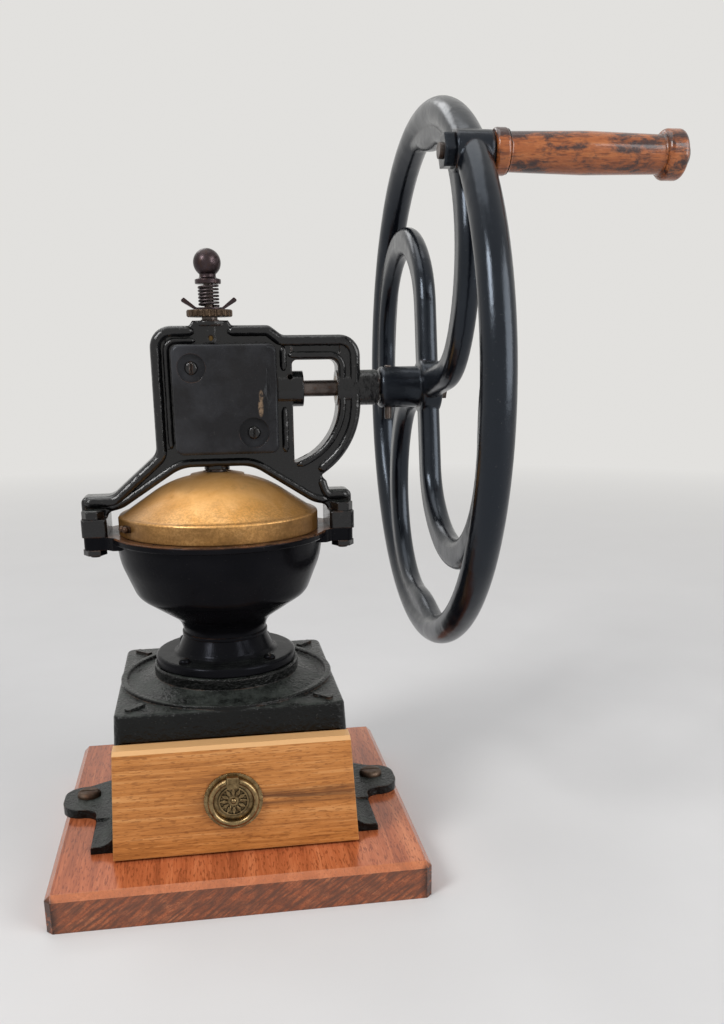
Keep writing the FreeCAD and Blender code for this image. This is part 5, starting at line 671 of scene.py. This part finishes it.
def rounded_path(corners, step):
    """Points along straight legs with tangent arcs at the corners, a step apart."""
    spots = [Vector((corner[0], corner[1])) for corner in corners]
    points = [spots[0]]
    for index in range(1, len(corners) - 1):
        corner = spots[index]
        back = (spots[index - 1] - corner).normalized()
        ahead = (spots[index + 1] - corner).normalized()
        half = back.angle(ahead) / 2
        radius = corners[index][2]
        reach = radius / math.tan(half)
        centre = corner + (back + ahead).normalized() * (radius / math.sin(half))
        first = corner + back * reach - centre
        turn = math.pi - 2 * half
        side = 1 if first.x * ahead.y > first.y * ahead.x else -1
        count = max(3, int(radius * turn / step))
        for part in range(count + 1):
            angle = side * turn * part / count
            points.append(centre + Vector((first.x * math.cos(angle) - first.y * math.sin(angle),
                                           first.x * math.sin(angle) + first.y * math.cos(angle))))
    points.append(spots[-1])
    even = [points[0]]
    for start, stop in zip(points, points[1:]):
        count = max(1, round((stop - start).length / step))
        even += [start.lerp(stop, part / count) for part in range(1, count + 1)]
    return even


def bead(name, half_width, rise, corners, face, outward, material):
    """A lumpy half-round bead on a flat face square to Y; outward is -1 for the front and 1 for the rear."""
    points = rounded_path(corners, BEAD_STEP)
    spindle_low, spindle_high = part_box("spindle")
    middle = (spindle_low.x + spindle_high.x) / 2
    last = len(points) - 1
    vertices = []
    for index, point in enumerate(points):
        along = (points[min(index + 1, last)] - points[max(index - 1, 0)]).normalized()
        across = Vector((-along.y, along.x))
        taper = min(1.0, BEAD_END + BEAD_END_GAIN * min(index, last - index))
        for side in range(BEAD_SIDES):
            angle = math.pi * side / (BEAD_SIDES - 1)
            where = Vector((point.x, point.y, angle * 4)) * BEAD_LUMP_SCALE
            lump = 1 + BEAD_LUMP * lumps_of.noise(where)
            flat = point + across * (half_width * math.cos(angle) * taper * lump)
            height = (rise * taper * lump + BEAD_SUNK) * math.sin(angle) - BEAD_SUNK
            vertices.append((middle + flat.x * MM, face + outward * height * MM, flat.y * MM))
    faces = []
    for index in range(last):
        for side in range(BEAD_SIDES - 1):
            low = index * BEAD_SIDES + side
            faces.append([low, low + 1, low + 1 + BEAD_SIDES, low + BEAD_SIDES])
    faces.append(list(range(BEAD_SIDES))[::-1])
    faces.append([last * BEAD_SIDES + side for side in range(BEAD_SIDES)])
    if outward > 0:
        faces = [loop[::-1] for loop in faces]
    mesh = bpy.data.meshes.new(name)
    mesh.from_pydata(vertices, [], faces)
    mesh.polygons.foreach_set("use_smooth", [True] * len(mesh.polygons))
    mesh.materials.append(material)
    piece = bpy.data.objects.new(name, mesh)
    bpy.context.scene.collection.objects.link(piece)
    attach(piece, "mill")


def make_beads(material):
    """Raised beads along the cast frame, front and rear."""
    centre = (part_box("cover_front")[0].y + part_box("cover_rear")[1].y) / 2
    for outward, side in ((-1, "front"), (1, "rear")):
        face = centre + outward * FRAME_HALF
        for name, (half_width, rise, corners) in FRAME_BEADS.items():
            bead(f"{name}_{side}", half_width, rise, corners, face, outward, material)


def dress(materials):
    """Give every CAD node the finish of its slot."""
    for part in frame["record"]["subparts"]:
        node = frame["nodes"][part["node"]]
        node.data.materials.clear()
        node.data.materials.append(materials[PAINTED_OVER.get(part["node"], part["material_slot"])])


def area_light(name, spot_at, width, height, power):
    """A soft box that looks at the grinder."""
    data = bpy.data.lights.new(name, "AREA")
    data.shape = "RECTANGLE"
    data.size = width
    data.size_y = height
    data.energy = power
    lamp = bpy.data.objects.new(name, data)
    bpy.context.scene.collection.objects.link(lamp)
    lamp.location = spot_at
    lamp.rotation_mode = "QUATERNION"
    lamp.rotation_quaternion = (Vector(LIGHT_AIM) - Vector(spot_at)).to_track_quat("-Z", "Y")


def make_lights():
    """Four soft boxes in a pale room, whose wall shows to the camera, in gloss and through glass."""
    for name, (spot_at, width, height, power) in SOFT_BOXES.items():
        area_light(name, spot_at, width, height, power)
    world = bpy.data.worlds.new("room")
    bpy.context.scene.world = world
    world.use_nodes = True
    tree = world.node_tree
    tree.nodes.clear()
    path = add(tree, "ShaderNodeLightPath").outputs
    light = add(tree, "ShaderNodeBackground", {"Color": ROOM_TINT, "Strength": ROOM_LIGHT})
    wall = add(tree, "ShaderNodeBackground", {"Color": WALL, "Strength": 1.0})
    seen = sums(tree, "MAXIMUM", path["Is Camera Ray"], path["Is Glossy Ray"])
    seen = sums(tree, "MAXIMUM", seen, path["Is Transmission Ray"])
    both = add(tree, "ShaderNodeMixShader", {0: seen, 1: light.outputs[0], 2: wall.outputs[0]})
    output = add(tree, "ShaderNodeOutputWorld")
    tree.links.new(both.outputs[0], output.inputs[0])


def make_floor():
    """A plain pale floor that fades into the wall's tone far away."""
    material, tree = new_material("floor_pale")
    here = place(tree)
    colour = mix(tree, noise(tree, here, scale=9.0, detail=5.0), FLOOR_DARK, FLOOR_LIGHT)
    values = {"Base Color": colour, "Roughness": 0.7, "Specular IOR Level": 0.1,
              "Normal": bump(tree, noise(tree, here, scale=400.0), FLOOR_GRAIN, strength=0.3)}
    near = add(tree, "ShaderNodeBsdfPrincipled", values)
    far = add(tree, "ShaderNodeEmission", {"Color": WALL})
    away = add(tree, "ShaderNodeVectorMath", {0: here}, operation="LENGTH").outputs["Value"]
    fade = remap(tree, away, FLOOR_FADE_START, FLOOR_FADE_END)
    both = add(tree, "ShaderNodeMixShader", {0: fade, 1: near.outputs[0], 2: far.outputs[0]})
    output = add(tree, "ShaderNodeOutputMaterial")
    tree.links.new(both.outputs[0], output.inputs[0])
    turns = [2 * math.pi * side / FLOOR_SIDES for side in range(FLOOR_SIDES)]
    ring = [(FLOOR_RADIUS * math.cos(turn), FLOOR_RADIUS * math.sin(turn), 0) for turn in turns]
    mesh = bpy.data.meshes.new("floor")
    mesh.from_pydata(ring, [], [list(range(FLOOR_SIDES))])
    mesh.materials.append(material)
    floor = bpy.data.objects.new("floor", mesh)
    bpy.context.scene.collection.objects.link(floor)


def make_camera():
    """The photograph's viewpoint."""
    pitch, yaw, roll = CAMERA_PITCH, CAMERA_YAW, CAMERA_ROLL
    ahead = Vector((math.sin(yaw) * math.cos(pitch), math.cos(yaw) * math.cos(pitch), -math.sin(pitch)))
    level = Vector((math.cos(yaw), -math.sin(yaw), 0))
    upright = level.cross(ahead)
    right = level * math.cos(roll) + upright * math.sin(roll)
    up = upright * math.cos(roll) - level * math.sin(roll)
    data = bpy.data.cameras.new("photo_camera")
    data.sensor_width = SENSOR
    data.lens = FOCAL_PIXELS / PHOTO_HEIGHT * SENSOR
    data.shift_x = (PHOTO_WIDTH / 2 - CENTRE_COLUMN) / PHOTO_HEIGHT
    data.shift_y = (CENTRE_ROW - PHOTO_HEIGHT / 2) / PHOTO_HEIGHT
    data.clip_start = 0.01
    camera = bpy.data.objects.new("photo_camera", data)
    bpy.context.scene.collection.objects.link(camera)
    turned = Matrix((right, up, -ahead)).transposed().to_4x4()
    camera.matrix_world = Matrix.Translation(CAMERA_PLACE) @ turned
    bpy.context.scene.camera = camera


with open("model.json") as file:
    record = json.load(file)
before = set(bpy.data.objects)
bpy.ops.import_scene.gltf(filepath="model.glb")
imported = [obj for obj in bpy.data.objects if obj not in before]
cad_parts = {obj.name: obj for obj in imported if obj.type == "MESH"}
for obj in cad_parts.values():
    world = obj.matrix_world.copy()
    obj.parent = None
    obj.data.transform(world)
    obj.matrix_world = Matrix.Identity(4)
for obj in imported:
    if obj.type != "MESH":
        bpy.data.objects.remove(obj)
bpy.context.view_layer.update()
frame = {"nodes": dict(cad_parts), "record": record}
bpy.context.scene.view_settings.view_transform = "Standard"
finishes = make_materials()
dress(finishes)
make_beads(finishes["frame_paint"])
make_lights()
make_floor()
make_camera()
